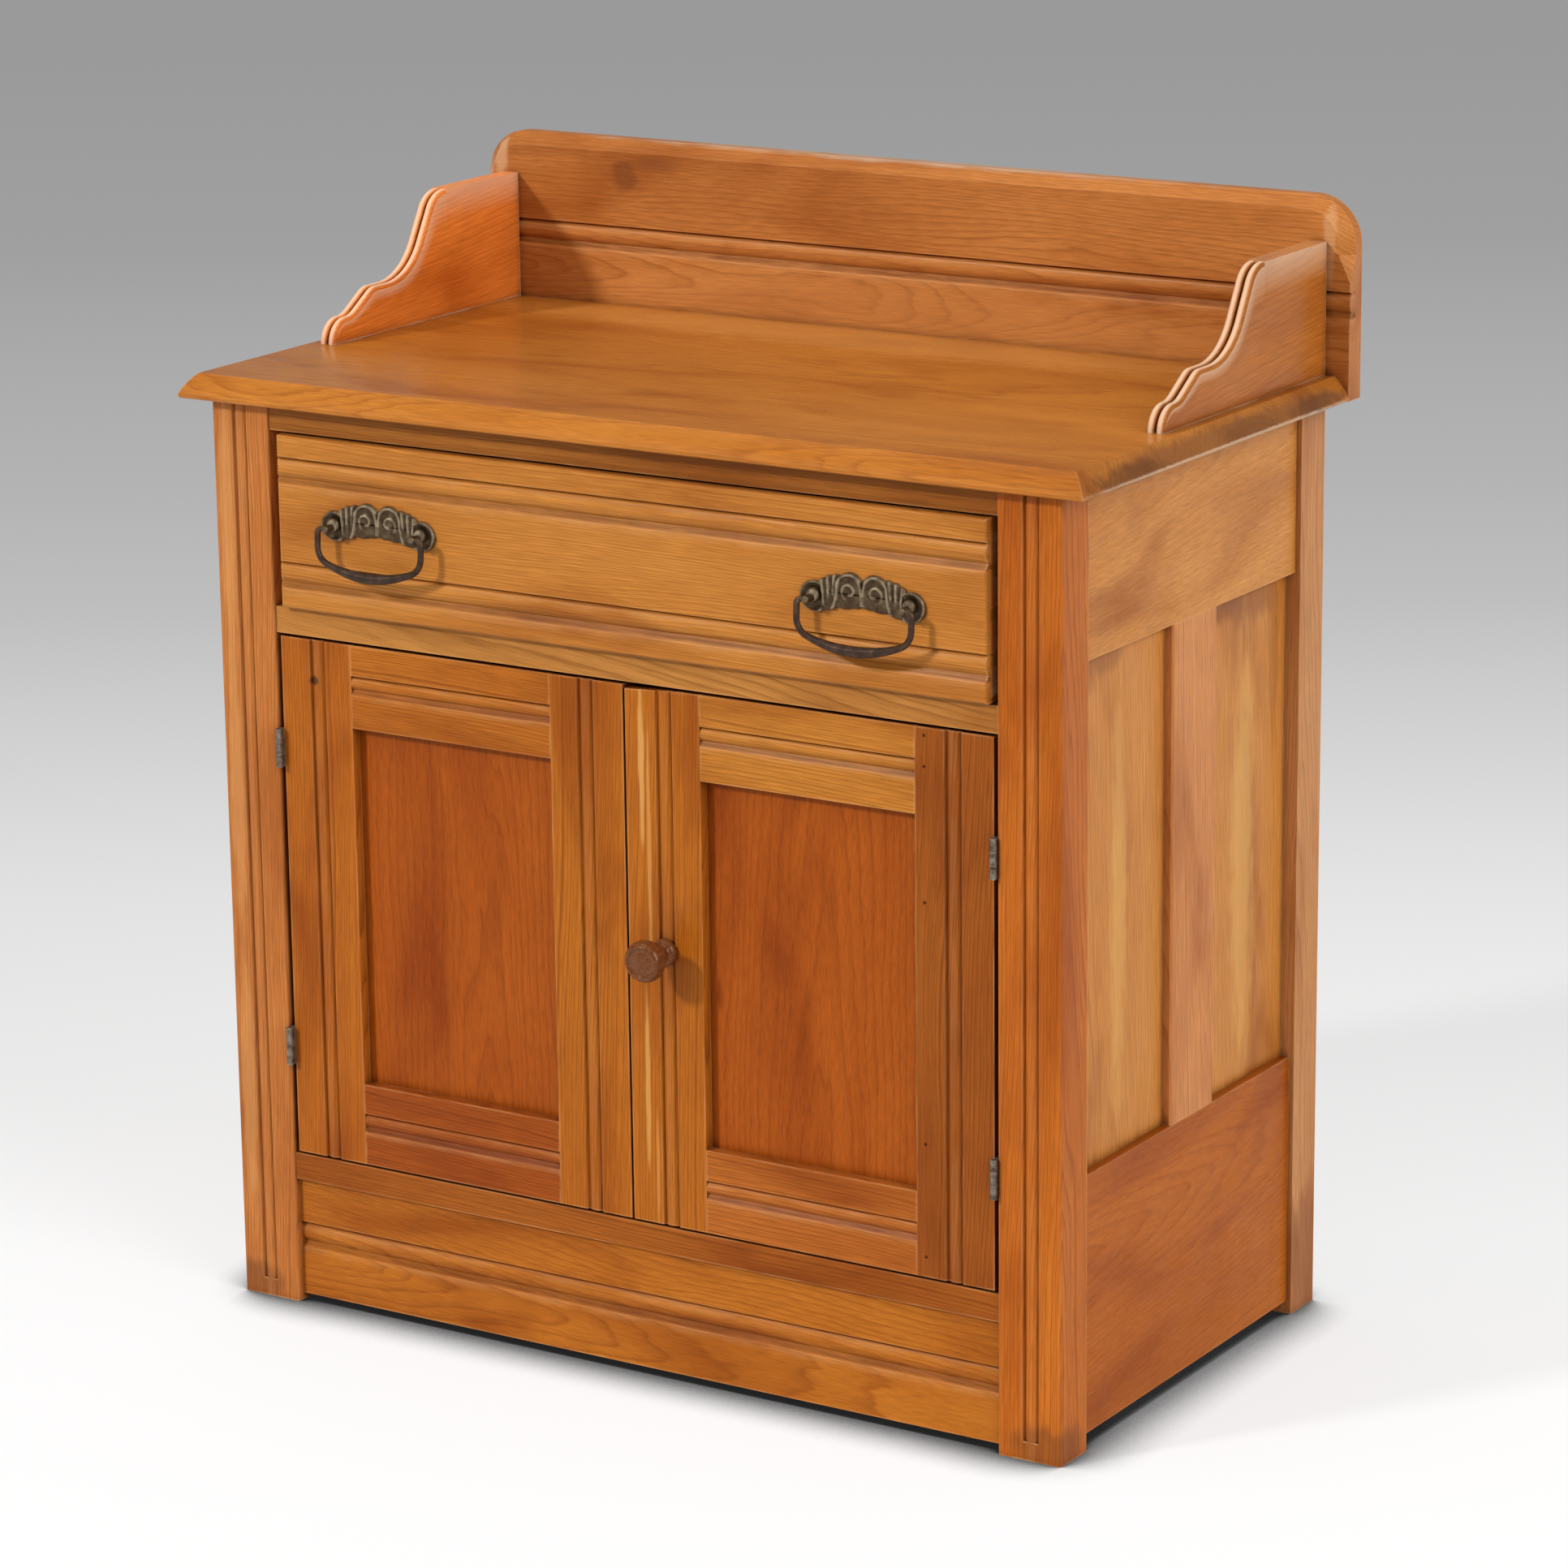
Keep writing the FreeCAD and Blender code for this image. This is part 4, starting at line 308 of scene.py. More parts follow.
def surface_piece(name, grids, body, material, replaced=(), values=None, sharp=40.0):
    """One closed mesh from grids of points in millimetres of the row frame.

    Each grid is (points, around). Ends left open are filled, doubles merged and faces turned outwards. values
    is (attribute name, one array for each grid) for patterns that follow the shape.
    """
    points = np.concatenate([grid.reshape(-1, 3) for grid, _ in grids]) * MM
    faces = []
    start = 0
    for grid, around in grids:
        faces.append(grid_faces(grid.shape[0], grid.shape[1], around, start))
        start += grid.shape[0] * grid.shape[1]
    faces = np.concatenate(faces)
    mesh = bpy.data.meshes.new(name)
    mesh.vertices.add(len(points))
    mesh.vertices.foreach_set("co", points.ravel().astype(np.float32))
    mesh.loops.add(faces.size)
    mesh.loops.foreach_set("vertex_index", faces.ravel().astype(np.int32))
    mesh.polygons.add(len(faces))
    mesh.polygons.foreach_set("loop_start", np.arange(0, faces.size, 4, dtype=np.int32))
    mesh.update(calc_edges=True)
    if values:
        layer = mesh.attributes.new(values[0], "FLOAT", "POINT")
        layer.data.foreach_set("value", np.concatenate([v.ravel() for v in values[1]]).astype(np.float32))
    shape = bmesh.new()
    shape.from_mesh(mesh)
    bmesh.ops.remove_doubles(shape, verts=shape.verts, dist=0.002 * MM)
    bmesh.ops.dissolve_degenerate(shape, edges=shape.edges, dist=0.001 * MM)
    bmesh.ops.holes_fill(shape, edges=shape.edges)
    bmesh.ops.recalc_face_normals(shape, faces=shape.faces)
    shape.to_mesh(mesh)
    shape.free()
    mesh.shade_smooth()
    mesh.set_sharp_from_angle(angle=math.radians(sharp))
    mesh.materials.append(material)
    made = bpy.data.objects.new(name, mesh)
    bpy.context.scene.collection.objects.link(made)
    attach(made, body)
    if replaced:
        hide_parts(*replaced)
    return made


def turned(profile, centre, outward, count=64):
    """Grid of a turned shape: each (radius, distance) of the profile swept once round an axis."""
    axis = np.array(outward, float)
    side = np.cross(axis, (0.3, 0.4, 0.9))
    side /= np.linalg.norm(side)
    other = np.cross(axis, side)
    angle = np.linspace(0, 2 * math.pi, count, endpoint=False)
    ring = np.cos(angle)[:, None] * side + np.sin(angle)[:, None] * other
    profile = np.array(profile, float)
    return np.array(centre) + profile[:, None, :1] * ring[None] + profile[:, None, 1:] * axis


def rounded(corners, steps=6, share=0.42):
    """Profile through corners, each inner one rounded by the parabola (1-t)^2 b + 2t(1-t) c + t^2 a.

    c is the corner, and b and a lie on its two sides at a share of their length from it.
    """
    corners = np.array(corners, float)
    t = np.linspace(0, 1, steps)[:, None]
    before = corners[1:-1] + (corners[:-2] - corners[1:-1]) * share
    after = corners[1:-1] + (corners[2:] - corners[1:-1]) * share
    bends = [(1 - t) ** 2 * b + 2 * t * (1 - t) * c + t ** 2 * a
             for b, c, a in zip(before, corners[1:-1], after)]
    return np.concatenate([corners[:1], *bends, corners[-1:]])


# ---- galleries ----
REED = 3.5
REED_SPACING = 7.7
NOSE = 20.0
STEP = (62.0, 77.0, 38.6)  # start, end and height of the flat step between the two ogees
RISE_END = 160.0
LOW_OGEE = (24.0, 18.0)
HIGH_OGEE = (54.0, 24.5)


def ogee(start, end, radii, count=18):
    """Run, rise and slope along a hollow arc, the straight that touches both arcs, and a round arc."""
    hollow, crown = radii
    low = np.array((start[0], start[1] + hollow))
    high = np.array((end[0], end[1] - crown))
    gap = high - low
    slope = math.atan2(gap[1], gap[0]) + math.asin((hollow + crown) / np.linalg.norm(gap))
    up = np.linspace(0, slope, count)
    down = up[::-1]
    first = np.stack([low[0] + hollow * np.sin(up), low[1] - hollow * np.cos(up), up], axis=1)
    second = np.stack([high[0] - crown * np.sin(down), high[1] + crown * np.cos(down), down], axis=1)
    return np.concatenate([first, second])


def gallery(word, material):
    """Scrolled wall with two reeds along its edge.

    A section is a closed loop: up one face, over the two half-round reeds and down the other face. It is
    carried along the crest, whose run, rise and slope come from a quarter circle, two ogees and two level
    stretches, and the reeds stand along the crest's normal (-sin slope, cos slope).
    """
    low, high = (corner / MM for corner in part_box("gallery_" + word))
    height = high.z - low.z
    length = high.y - low.y
    turn = np.linspace(math.pi / 2, 0, 16)
    nose = np.stack([NOSE - NOSE * np.sin(turn), NOSE * np.cos(turn), turn], axis=1)
    lower = ogee((NOSE, NOSE), (STEP[0], STEP[2]), LOW_OGEE)
    upper = ogee((STEP[1], STEP[2]), (RISE_END, height), HIGH_OGEE)
    level = np.array([[RISE_END + 0.5, height, 0], [length - 0.5, height, 0], [length, height, 0]])
    path = np.concatenate([nose, lower[1:], upper, level])

    angle = np.linspace(math.pi, 0, 13)
    reed_across = REED * np.cos(angle)
    reed_up = REED * np.sin(angle) - REED
    half = (high.x - low.x) / 2
    across = np.concatenate([[-half], reed_across - REED_SPACING / 2, reed_across + REED_SPACING / 2,
                             [half]])
    up = np.concatenate([[-REED], reed_up, reed_up, [-REED]])
    reeded = (path[:, 0] <= RISE_END)[:, None]
    lift = np.where(reeded, up[None], 0.0)
    run = path[:, :1] - np.sin(path[:, 2:]) * lift
    rise = path[:, 1:2] + np.cos(path[:, 2:]) * lift
    middle = (low.x + high.x) / 2
    edge = np.stack([np.broadcast_to(middle + across, run.shape), low.y + run, low.z + rise], axis=-1)

    def face(column):
        """Points of one flat face below the edge, down to the top board."""
        top = edge[:, column]
        down = np.linspace(0, 1, 5)[:, None]
        return np.stack([top * (1, 1, 1 - t) + np.array((0, 0, low.z)) * t for t in down[:, 0]], axis=1)

    loop = np.concatenate([face(0)[:, ::-1], edge[:, 1:-1], face(-1)], axis=1)
    # The reed crests are paled by wear and by a painted highlight, the arrises of the faces by wear.
    crest = np.where(reeded, 0.6 * np.exp(-((lift + 0.1) / 0.5) ** 2), 0.1)
    arris = np.zeros((len(path), 5))
    arris[:, 0] = 0.4
    worn_and_lit = np.concatenate([arris[:, ::-1], crest[:, 1:-1], arris], axis=1)
    return surface_piece("gallery_wall_" + word, [(loop, True)], "carcass", material, ["gallery_" + word],
                         ("rubbed_and_lit", [worn_and_lit]), sharp=50.0)


# ---- pulls ----
PULL_SPACING = 82.0
PLATE_RAISE = 3.8  # of the plate's drawing above the posts
BAIL_HALF = 49.0
BAIL_DROP = 34.5
BAIL_ELBOW = 4.1
BAIL_ARM = 14.0
BAIL_CORNER = 14.0
BAIL_TILT = math.radians(3.0)
BAIL_ARM_RADIUS = 2.4
BAIL_GRIP_RADIUS = 4.4
BAIL_PIN_RADIUS = 1.6
BAIL_PIN_LENGTH = 5.9
DOME_RADIUS = 5.6
DOME_RISE = 1.6  # of the dome above the post
POST_RADIUS = 3.1
LOBE = (41.0, -3.8)  # middle of the plate's round end, over the foot of a post
EDGE_FALL = 1.3
EDGE_PROUD = 0.5  # of the plate's rim above the drawer
face_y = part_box("drawer_front")[0].y / MM


def bulged(first, last, rise, count):
    """Points between two places on a parabola that rises by rise at its middle, to the left of the way."""
    first, last = np.array(first, float), np.array(last, float)
    t = np.linspace(0, 1, count)[:, None]
    along = last - first
    normal = np.array((-along[1], along[0])) / np.linalg.norm(along)
    return first + along * t + normal * (4 * rise * t * (1 - t))


def circle_through(a, b, c, count):
    """Points of the circle arc from a through b to c."""
    a, b, c = (np.array(p, float) for p in (a, b, c))
    matrix = 2 * np.array((b - a, c - a))
    centre = np.linalg.solve(matrix, np.array((b @ b - a @ a, c @ c - a @ a)))
    angles = [math.atan2(*(p - centre)[::-1]) for p in (a, b, c)]
    while angles[1] > angles[0]:
        angles[1] -= 2 * math.pi
    while angles[2] > angles[1]:
        angles[2] -= 2 * math.pi
    swept = np.linspace(angles[0], angles[2], count)
    return centre + np.linalg.norm(a - centre) * np.stack([np.cos(swept), np.sin(swept)], axis=1)


def plate_rim():
    """Outline of a back plate, clockwise from the notch in its top: shell, flute ends, round lobe, foot."""
    parts = [bulged((0.0, 11.5), (19.0, 14.0), 4.4, 26), bulged((19.0, 14.0), (26.0, 13.0), 1.3, 12),
             bulged((26.0, 13.0), (32.0, 11.0), 1.3, 12), bulged((32.0, 11.0), (37.5, 7.5), 1.3, 12),
             circle_through((37.5, 7.5), (53.5, -4.0), (41.0, -15.0), 44),
             bulged((41.0, -15.0), (32.0, -13.0), 1.2, 12),
             bulged((32.0, -13.0), (21.5, -10.0), 1.2, 12), bulged((21.5, -10.0), (8.4, -9.5), 1.2, 14),
             bulged((8.4, -9.5), (0.0, -7.5), 1.0, 10)]
    right = np.concatenate([part[:-1] for part in parts] + [parts[-1][-1:]])
    left = right[::-1][1:-1] * (-1, 1)
    return np.concatenate([right, left])


def distance_to(points, line):
    """Shortest distance from each point to the corners of a finely divided line."""
    return np.sqrt(((points[:, None] - line[None]) ** 2).sum(-1).min(1))


def ridge(distance, width, height):
    """Half-round rib over a line: an ellipse of that half width and height."""
    return height * np.sqrt(np.clip(1 - (distance / width) ** 2, 0, 1))


def plate_relief(u, w):
    """Height of the casting over its back: volutes under arches, a leaf, blades and a cupped round end.

    A volute is the spiral radius = 7.2 - 0.85 * angle, wound from its outer foot over the top to its eye. An
    arch is a circle over it with a leg on each side, and a blade is a parabola from the foot to the edge.
    """
    points = np.stack([np.abs(u), w], axis=1)
    height = np.full(len(u), 1.6)
    hollow = np.clip(1 - (distance_to(points, np.array([[10.9, 4.5]])) / 11.5) ** 2, 0, 1)
    height += 0.7 * hollow
    angle = np.linspace(0, 5.6, 160)
    reach = 7.2 - 0.85 * angle
    spiral = np.stack([10.9 + reach * np.cos(angle - 0.95), 2.6 + reach * np.sin(angle - 0.95)], axis=1)
    taper = np.clip(np.linspace(0.3, 2.6, 160), 0, 1)
    near = np.sqrt(((points[:, None] - spiral[None]) ** 2).sum(-1))
    nearest = near.argmin(1)
    height += ridge(near.min(1), 1.35, 1.45) * taper[nearest]
    arch = np.concatenate([bulged((0.5, -6.5), (1.1, 5.0), 0.2, 40),
                           circle_through((1.1, 5.0), (10.9, 15.4), (21.4, 5.0), 90),
                           bulged((21.4, 5.0), (25.2, -11.0), -0.9, 60)])
    height = np.maximum(height, 2.0 + ridge(distance_to(points, arch), 1.6, 1.5))
    for order in range(3):
        foot = np.array((27.6 + 2.3 * order, -11.6 - 0.6 * order))
        tip = np.array((23.4 + 5.7 * order, 14.6 - 1.9 * order))
        blade = bulged(foot, tip, 1.0 - 0.6 * order, 60)
        fade = 0.35 + 0.65 * np.clip((w - foot[1]) / 14.0, 0, 1)
        height = np.maximum(height, 1.6 + ridge(distance_to(points, blade), 2.0, 1.7) * fade)
    lobe = distance_to(points, np.array([LOBE]))
    cup = np.clip((lobe - 6.8) / 4.2, 0, 1)
    height = np.where(points[:, 0] > 35.0, 1.3 + 2.0 * cup ** 1.5, height)
    leaf = np.clip(1 - points[:, 0] / (0.9 + 0.16 * np.clip(w, 0, 14)), 0, 1)
    height = np.where(w > 6, np.maximum(height - 0.9 * leaf, 1.0), height)
    return height


def pull_plate(word, centre, material):
    """Cast back plate, flat on the drawer behind.

    A grid runs from the middle line of the plate to its rim, and every point is raised by the relief. Over
    the last EDGE_FALL it sinks to a thin edge by sqrt(x (2 - x)), x being the share of that way left.
    """
    rim = plate_rim()
    base = centre[2] + PLATE_RAISE
    spine = np.stack([np.clip(rim[:, 0], -40.0, 40.0), np.full(len(rim), 0.8)], axis=1)
    share = np.concatenate([np.linspace(0, 0.93, 40), [0.96, 0.985, 1.0]])[:, None, None]
    flat = spine * (1 - share) + rim * share
    u, w = flat[..., 0], flat[..., 1]
    relief = plate_relief(u.ravel(), w.ravel()).reshape(u.shape)
    inset = np.sqrt(((rim - spine) ** 2).sum(-1))[None] * (1 - share[..., 0])
    way = np.clip(inset / EDGE_FALL, 0, 1)
    fall = np.sqrt(way * (2 - way))
    proud = EDGE_PROUD + (relief - EDGE_PROUD) * fall
    front = np.stack([centre[0] + u, face_y - proud, base + w], axis=-1)
    back = front[[-1, -1]].copy()
    back[1, :, 0] = centre[0] + spine[:, 0]
    back[1, :, 2] = base + spine[:, 1]
    back[:, :, 1] = face_y - 0.02
    shifts = ((0, 0), (3, 0), (-3, 0), (3, 1), (-3, 1))
    smooth = sum(np.roll(relief, step, axis) for step, axis in shifts) / len(shifts)
    worn_and_lit = np.clip((relief - smooth) * 2.6 + (relief - 2.6) * 0.35, 0, 1) * fall ** 2
    # The upper rim is paled as a painted highlight, where the light catches it.
    worn_and_lit += 0.55 * (1 - fall) * (w > -3)
    grid = np.concatenate([front, back])
    worn_and_lit = np.concatenate([worn_and_lit, worn_and_lit[:1] * 0, worn_and_lit[:1] * 0])
    return surface_piece("pull_backplate_" + word, [(grid, True)], "drawer", material, (),
                         ("rubbed_and_lit", [worn_and_lit]), sharp=60.0)


def pull_boss(word, side_word, centre, side, material):
    """Low dome with a slim post before its lower half, whose round tip carries the bail's pin."""
    post_place = np.array((centre[0] + side * PULL_SPACING / 2, face_y, centre[2]))
    dome_place = post_place + (0, 0, DOME_RISE)
    angle = np.linspace(0, math.pi / 2, 14)
    dome = np.stack([DOME_RADIUS * np.cos(angle), 3.9 + 3.1 * np.sin(angle)], axis=1)
    dome = np.concatenate([[(0, 0.4), (DOME_RADIUS, 0.4)], dome])
    tip = np.stack([POST_RADIUS * np.cos(angle), 14.4 + 2.6 * np.sin(angle)], axis=1)
    shank = [(0, 3.0), (POST_RADIUS, 3.0), (POST_RADIUS * 0.9, 8.0), (POST_RADIUS, 11.2)]
    post = np.concatenate([shank, tip])
    grids = []
    worn_and_lit = []
    turnings = ((dome, dome_place, 5.0, 1.6, 1.0), (post, post_place, 14.6, 2.0, 0.45))
    for profile, spot, start, run, strength in turnings:
        grid = turned(profile, spot, (0, -1, 0), 48)
        grids.append((grid, True))
        rubbed_and_lit = strength * np.clip((profile[:, 1] - start) / run, 0, 1)
        worn_and_lit.append(np.broadcast_to(rubbed_and_lit[:, None], grid.shape[:2]))
    name = "pull_boss_" + word + "_" + side_word
    return surface_piece(name, grids, "drawer", material, (), ("rubbed_and_lit", worn_and_lit), sharp=50.0)


def bail_arc(u, drop, radius, start, end, count):
    """Points (u, drop, heading) of an arc round (u, drop)."""
    angle = np.linspace(start, end, count)
    return np.stack([u + radius * np.cos(angle), drop + radius * np.sin(angle), angle], axis=1)


def bail_path():
    """Half of the bail's line as (u, drop, heading): elbow, arm, corner and half of the shallow grip."""
    corner_u = BAIL_HALF - BAIL_CORNER
    flare = math.atan((BAIL_DROP - BAIL_ARM - BAIL_CORNER) / corner_u)
    turn = math.pi / 2 - 2 * flare
    grip = BAIL_CORNER + corner_u / math.cos(turn)
    elbow = bail_arc(BAIL_HALF - BAIL_ELBOW, BAIL_ELBOW, BAIL_ELBOW, -math.pi / 2, 0, 12)
    arm = np.stack([np.full(6, BAIL_HALF), np.linspace(BAIL_ELBOW, BAIL_ARM, 8)[1:-1], np.zeros(6)], axis=1)
    bend = bail_arc(corner_u, BAIL_ARM, BAIL_CORNER, 0, turn, 16)
    low = bail_arc(0, BAIL_DROP - grip, grip, turn, math.pi / 2, 24)[1:]
    return np.concatenate([elbow, arm, bend, low])


def pull_bail(word, pivot, material):
    """Drop handle: a round section carried round the elbow, down one arm, along a shallow arc and back up.

    Its radius is arm + (grip - arm) * cos^2(pi/2 * u / half), u being the distance from its middle. The whole
    curve lies in a plane that leans out from the drawer by the tilt, and each end has a pin to the other.
    """
    half = bail_path()
    other = half[::-1][1:] * (-1, 1, -1) + (0, 0, math.pi)
    path = np.concatenate([half, other])
    u, drop, heading = path[:, 0], path[:, 1], path[:, 2]
    swell = np.cos(math.pi / 2 * u / BAIL_HALF) ** 2
    radius = BAIL_ARM_RADIUS + (BAIL_GRIP_RADIUS - BAIL_ARM_RADIUS) * swell
    ends = np.minimum(np.arange(len(path)), np.arange(len(path))[::-1])
    radius = radius * np.where(ends == 0, 0.001, np.where(ends == 1, 0.85, 1.0))
    down = np.array((0, -math.sin(BAIL_TILT), -math.cos(BAIL_TILT)))
    proud = np.array((0, -math.cos(BAIL_TILT), math.sin(BAIL_TILT)))
    right = np.array((1.0, 0, 0))
    outward = np.cos(heading)[:, None] * right + np.sin(heading)[:, None] * down
    angle = np.linspace(0, 2 * math.pi, 24, endpoint=False)
    ring = np.cos(angle)[None, :, None] * outward[:, None] + np.sin(angle)[None, :, None] * proud
    middle = np.array(pivot) + u[:, None] * right + drop[:, None] * down
    tube = middle[:, None] + radius[:, None, None] * ring
    grids = [(tube, True)]
    worn_and_lit = [np.broadcast_to((np.clip(1 - drop / 5.0, 0, 1) * 0.25)[:, None], tube.shape[:2])]
    for side in (-1, 1):
        start = np.array(pivot) + right * side * (BAIL_HALF - BAIL_ELBOW)
        profile = [(0, -0.5), (BAIL_PIN_RADIUS, -0.5), (BAIL_PIN_RADIUS, BAIL_PIN_LENGTH),
                   (0, BAIL_PIN_LENGTH)]
        pin = turned(profile, start, right * -side, 24)
        grids.append((pin, True))
        worn_and_lit.append(np.full(pin.shape[:2], 0.3))
    return surface_piece("pull_handle_" + word, grids, word + "_bail", material, ["pull_bail_" + word],
                         ("rubbed_and_lit", worn_and_lit), sharp=50.0)


# ---- knob ----
KNOB_SHARE = 0.9  # the head is a little slimmer than the plain solid


def knob_piece(material):
    """Turned knob: collar, neck with a bead, bell, rounded rim and a face with a shallow ring."""
    pivot = Vector(joints["knob_turn"]["pos_m"]) / MM
    low, high = (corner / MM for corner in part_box("knob"))
    door_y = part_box("door_right_stile_meeting")[0].y / MM
    proud = door_y - low.y
    radius = (high.x - low.x) / 2 * KNOB_SHARE
    inner_end = door_y - high.y
    body = rounded([(10.6, 0.3), (11.0, 2.2), (10.2, 5.4), (7.6, 7.2), (6.8, 10.0), (8.4, 12.2), (8.2, 14.4),
                    (7.4, 16.4), (radius * 0.76, proud * 0.56), (radius * 0.97, proud * 0.68),
                    (radius, proud * 0.80), (radius * 0.93, proud * 0.93), (radius * 0.74, proud),
                    (radius * 0.64, proud * 0.955), (radius * 0.50, proud * 0.955),
                    (radius * 0.25, proud * 0.985), (0, proud * 0.99)])
    profile = np.concatenate([[(0, inner_end), (3.9, inner_end), (3.9, 0.3)], body])
    grid = turned(profile, (pivot.x, door_y, pivot.z), (0, -1, 0), 72)
    return surface_piece("turned_knob", [(grid, True)], "knob_body", material, ["knob"], None, sharp=35.0)


def knob_wood(name):
    """Turned and polished hardwood, red-brown, with its fibre along the knob and a glossy varnish."""
    material, add = new_material(name)
    place = add("TexCoord")["Object"]
    stretched = add("VectorMath", {0: place, 1: (1 / (2.2 * MM), 1 / (22 * MM), 1 / (2.2 * MM))},
                    operation="MULTIPLY")[0]
    fibre = add("TexNoise", {"Vector": stretched, "Scale": 1.0, "Detail": 4.0})[0]
    browns = [(0.3, "#4C2610"), (0.5, "#643618"), (0.72, "#784522")]
    wood = add("ValToRGB", {0: fibre}, stops=browns)[0]
    # Painted shade, standing also for soil, darkens the knob's hollows and its foot by the door.
    shut_in = add("AmbientOcclusion", {"Distance": 4 * MM}, samples=AO_SAMPLES)["AO"]
    dirt_and_shade = add("MapRange", {0: shut_in, 1: 0.3, 2: 0.9, 3: 0.7, 4: 0.0})[0]
    wood = add("MixRGB", {0: dirt_and_shade, 1: wood, 2: linear("#2A120A")})[0]
    bump = add("Bump", {"Strength": 0.06, "Distance": 0.05 * MM, "Height": fibre})[0]
    shader = add("BsdfPrincipled", {
        "Base Color": wood, "Roughness": 0.28, "Specular IOR Level": 0.5,
        "Specular Tint": linear("#F4C8A0"), "Coat Weight": 0.15, "Coat Roughness": 0.15, "Normal": bump})
    add("OutputMaterial", {0: shader[0]})
    return material


# ---- boards ----
# Where the mouldings' quirks lie, in mm.
SPLASH_QUIRK = 83.8  # over the underside of the top board
PLINTH_QUIRK = 66.0  # over the floor
DRAWER_QUIRKS = (18.3, 101.3)  # below the drawer front's upper edge
RAIL_QUIRK = 25.5  # below the upper edge of a door's rail
RAIL_SCALE = 0.72  # of that moulding to the drawer's
POST_QUIRK = 22.5  # from a post's inner edge
STILE_QUIRK = 28.5  # from a stile's outer edge
# Tones are (early wood, late wood). Marks are (place, radii, colour, strength), with places in mm.
BARE = ("#CDAE80", "#A8824F")
HOLE_HEIGHTS = (549.7, 526.0, 422.0, 234.0, 145.0)
NAIL_HOLES = [((264, -205, z), (1.8, 6, 1.8), "#2B140A", 0.95) for z in HOLE_HEIGHTS]
KNOT = [((-292, -205, 523), (6, 8, 5), "#3A1C0C", 0.9)]
SPLASH_MARKS = [
    ((-262, 201, 868), (16, 10, 16), "#6A3A1C", 0.55),  # two smudges near the left end
    ((-232, 201, 880), (30, 10, 8), "#7A4726", 0.4),
    ((0, 211, 903), (420, 30, 9), "#B69C82", 0.7),  # painted sheen along the upper edge
    ((0, 201, 775), (430, 20, 34), "#CE8E52", 0.25),  # painted light on the foot, against the shade in its corner with the top
    ((386, 201, 868), (7, 12, 50), "#D0A67C", 0.35),  # corners paled by wear and by a painted sheen
    ((-386, 201, 880), (9, 12, 26), "#D0A67C", 0.5)]
SAPWOOD = [
    ((15, -206, 500), (3.5, 6, 80), "#CF9B58", 0.7),
    ((21, -206, 430), (2.5, 6, 120), "#C98F4C", 0.6),
    ((16, -206, 240), (3.0, 6, 90), "#CC9753", 0.65),
    ((24, -206, 170), (2.0, 6, 60), "#C88E4A", 0.5)]
TOP_MARKS = [
    ((0, 165, 760), (430, 60, 20), "#CB8D4A", 0.4),  # painted light on the back, by the backsplash
    # painted shade on the left, where the left gallery's shadow falls
    ((-190, 20, 760), (230, 150, 20), "#94501C", 0.35),
    ((250, -90, 760), (220, 120, 20), "#CC8538", 0.3),
    ((402, 0, 748), (16, 260, 15), "#7A4C2A", 0.62),  # stained end grain
    ((404, -150, 747), (14, 70, 13), "#553018", 0.5),
    ((404, 40, 747), (14, 60, 13), "#553018", 0.35),
    ((404, 150, 747), (14, 60, 13), "#553018", 0.55),
    ((405, 0, 742.5), (6, 260, 2.2), "#D9B994", 0.5)]  # its rubbed lower arris
POST_FEET = [((side * 372, -205, 12), (45, 40, 22), "#6A3A1C", 0.6) for side in (-1, 1)]
REAR_FEET = [((side * 372, 195, 40), (45, 60, 80), "#8A4A22", 0.65) for side in (-1, 1)]
WASHED_LEFT = [((-370, -208, z), (9, 12, 150), "#D39A5E", 0.35) for z in (180.0, 420.0, 640.0)]
PANEL_X = 372
PANEL_STAINS = (  # y, z, width, height, colour, strength
    (-168, 598, 40, 26, "#7A4420", 0.75), (-120, 604, 36, 18, "#8A5228", 0.6),
    (-190, 560, 12, 90, "#9A6030", 0.5), (60, 606, 50, 20, "#7A4420", 0.7),
    (110, 600, 60, 26, "#834B25", 0.6), (28, 330, 5, 60, "#6E3D1C", 0.7),
    (30, 250, 5, 80, "#6E3D1C", 0.6), (150, 560, 10, 120, "#9A6030", 0.5),
    (-165, 150, 40, 22, "#8A5228", 0.5), (60, 158, 40, 20, "#8A5228", 0.5),
    (-100, 400, 16, 220, "#D6A058", 0.5), (100, 400, 26, 230, "#DBA75C", 0.5))
PANEL_MARKS = [((PANEL_X, y, z), (14, width, height), code, amount)
               for y, z, width, height, code, amount in PANEL_STAINS]
DRAWER_EDGE = [((324.5, -203, 650), (3.6, 12, 110), "#9A5226", 0.6)]
DRAWER_END_STAIN = {word: [((x, -208, 650), (9, 20, 110), "#B0622F", 0.95)]
                    for word, x in (("left", -312), ("right", 318))}


def level_beads(height, *drops, scale=1.0):
    """Mouldings that run along X, given by how far their quirks lie below a height in mm."""
    return [("z", height - drop, -1, scale, LEVEL_BEAD) for drop in drops]


def upright_bead(node, toward, inset):
    """The bead of a post or stile, at an inset in mm from the edge that toward points away from."""
    low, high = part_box(node)
    edge = (low.x if toward > 0 else high.x) / MM
    return [("x", edge + toward * inset, toward, 1.0, TWIN_QUIRKS)]


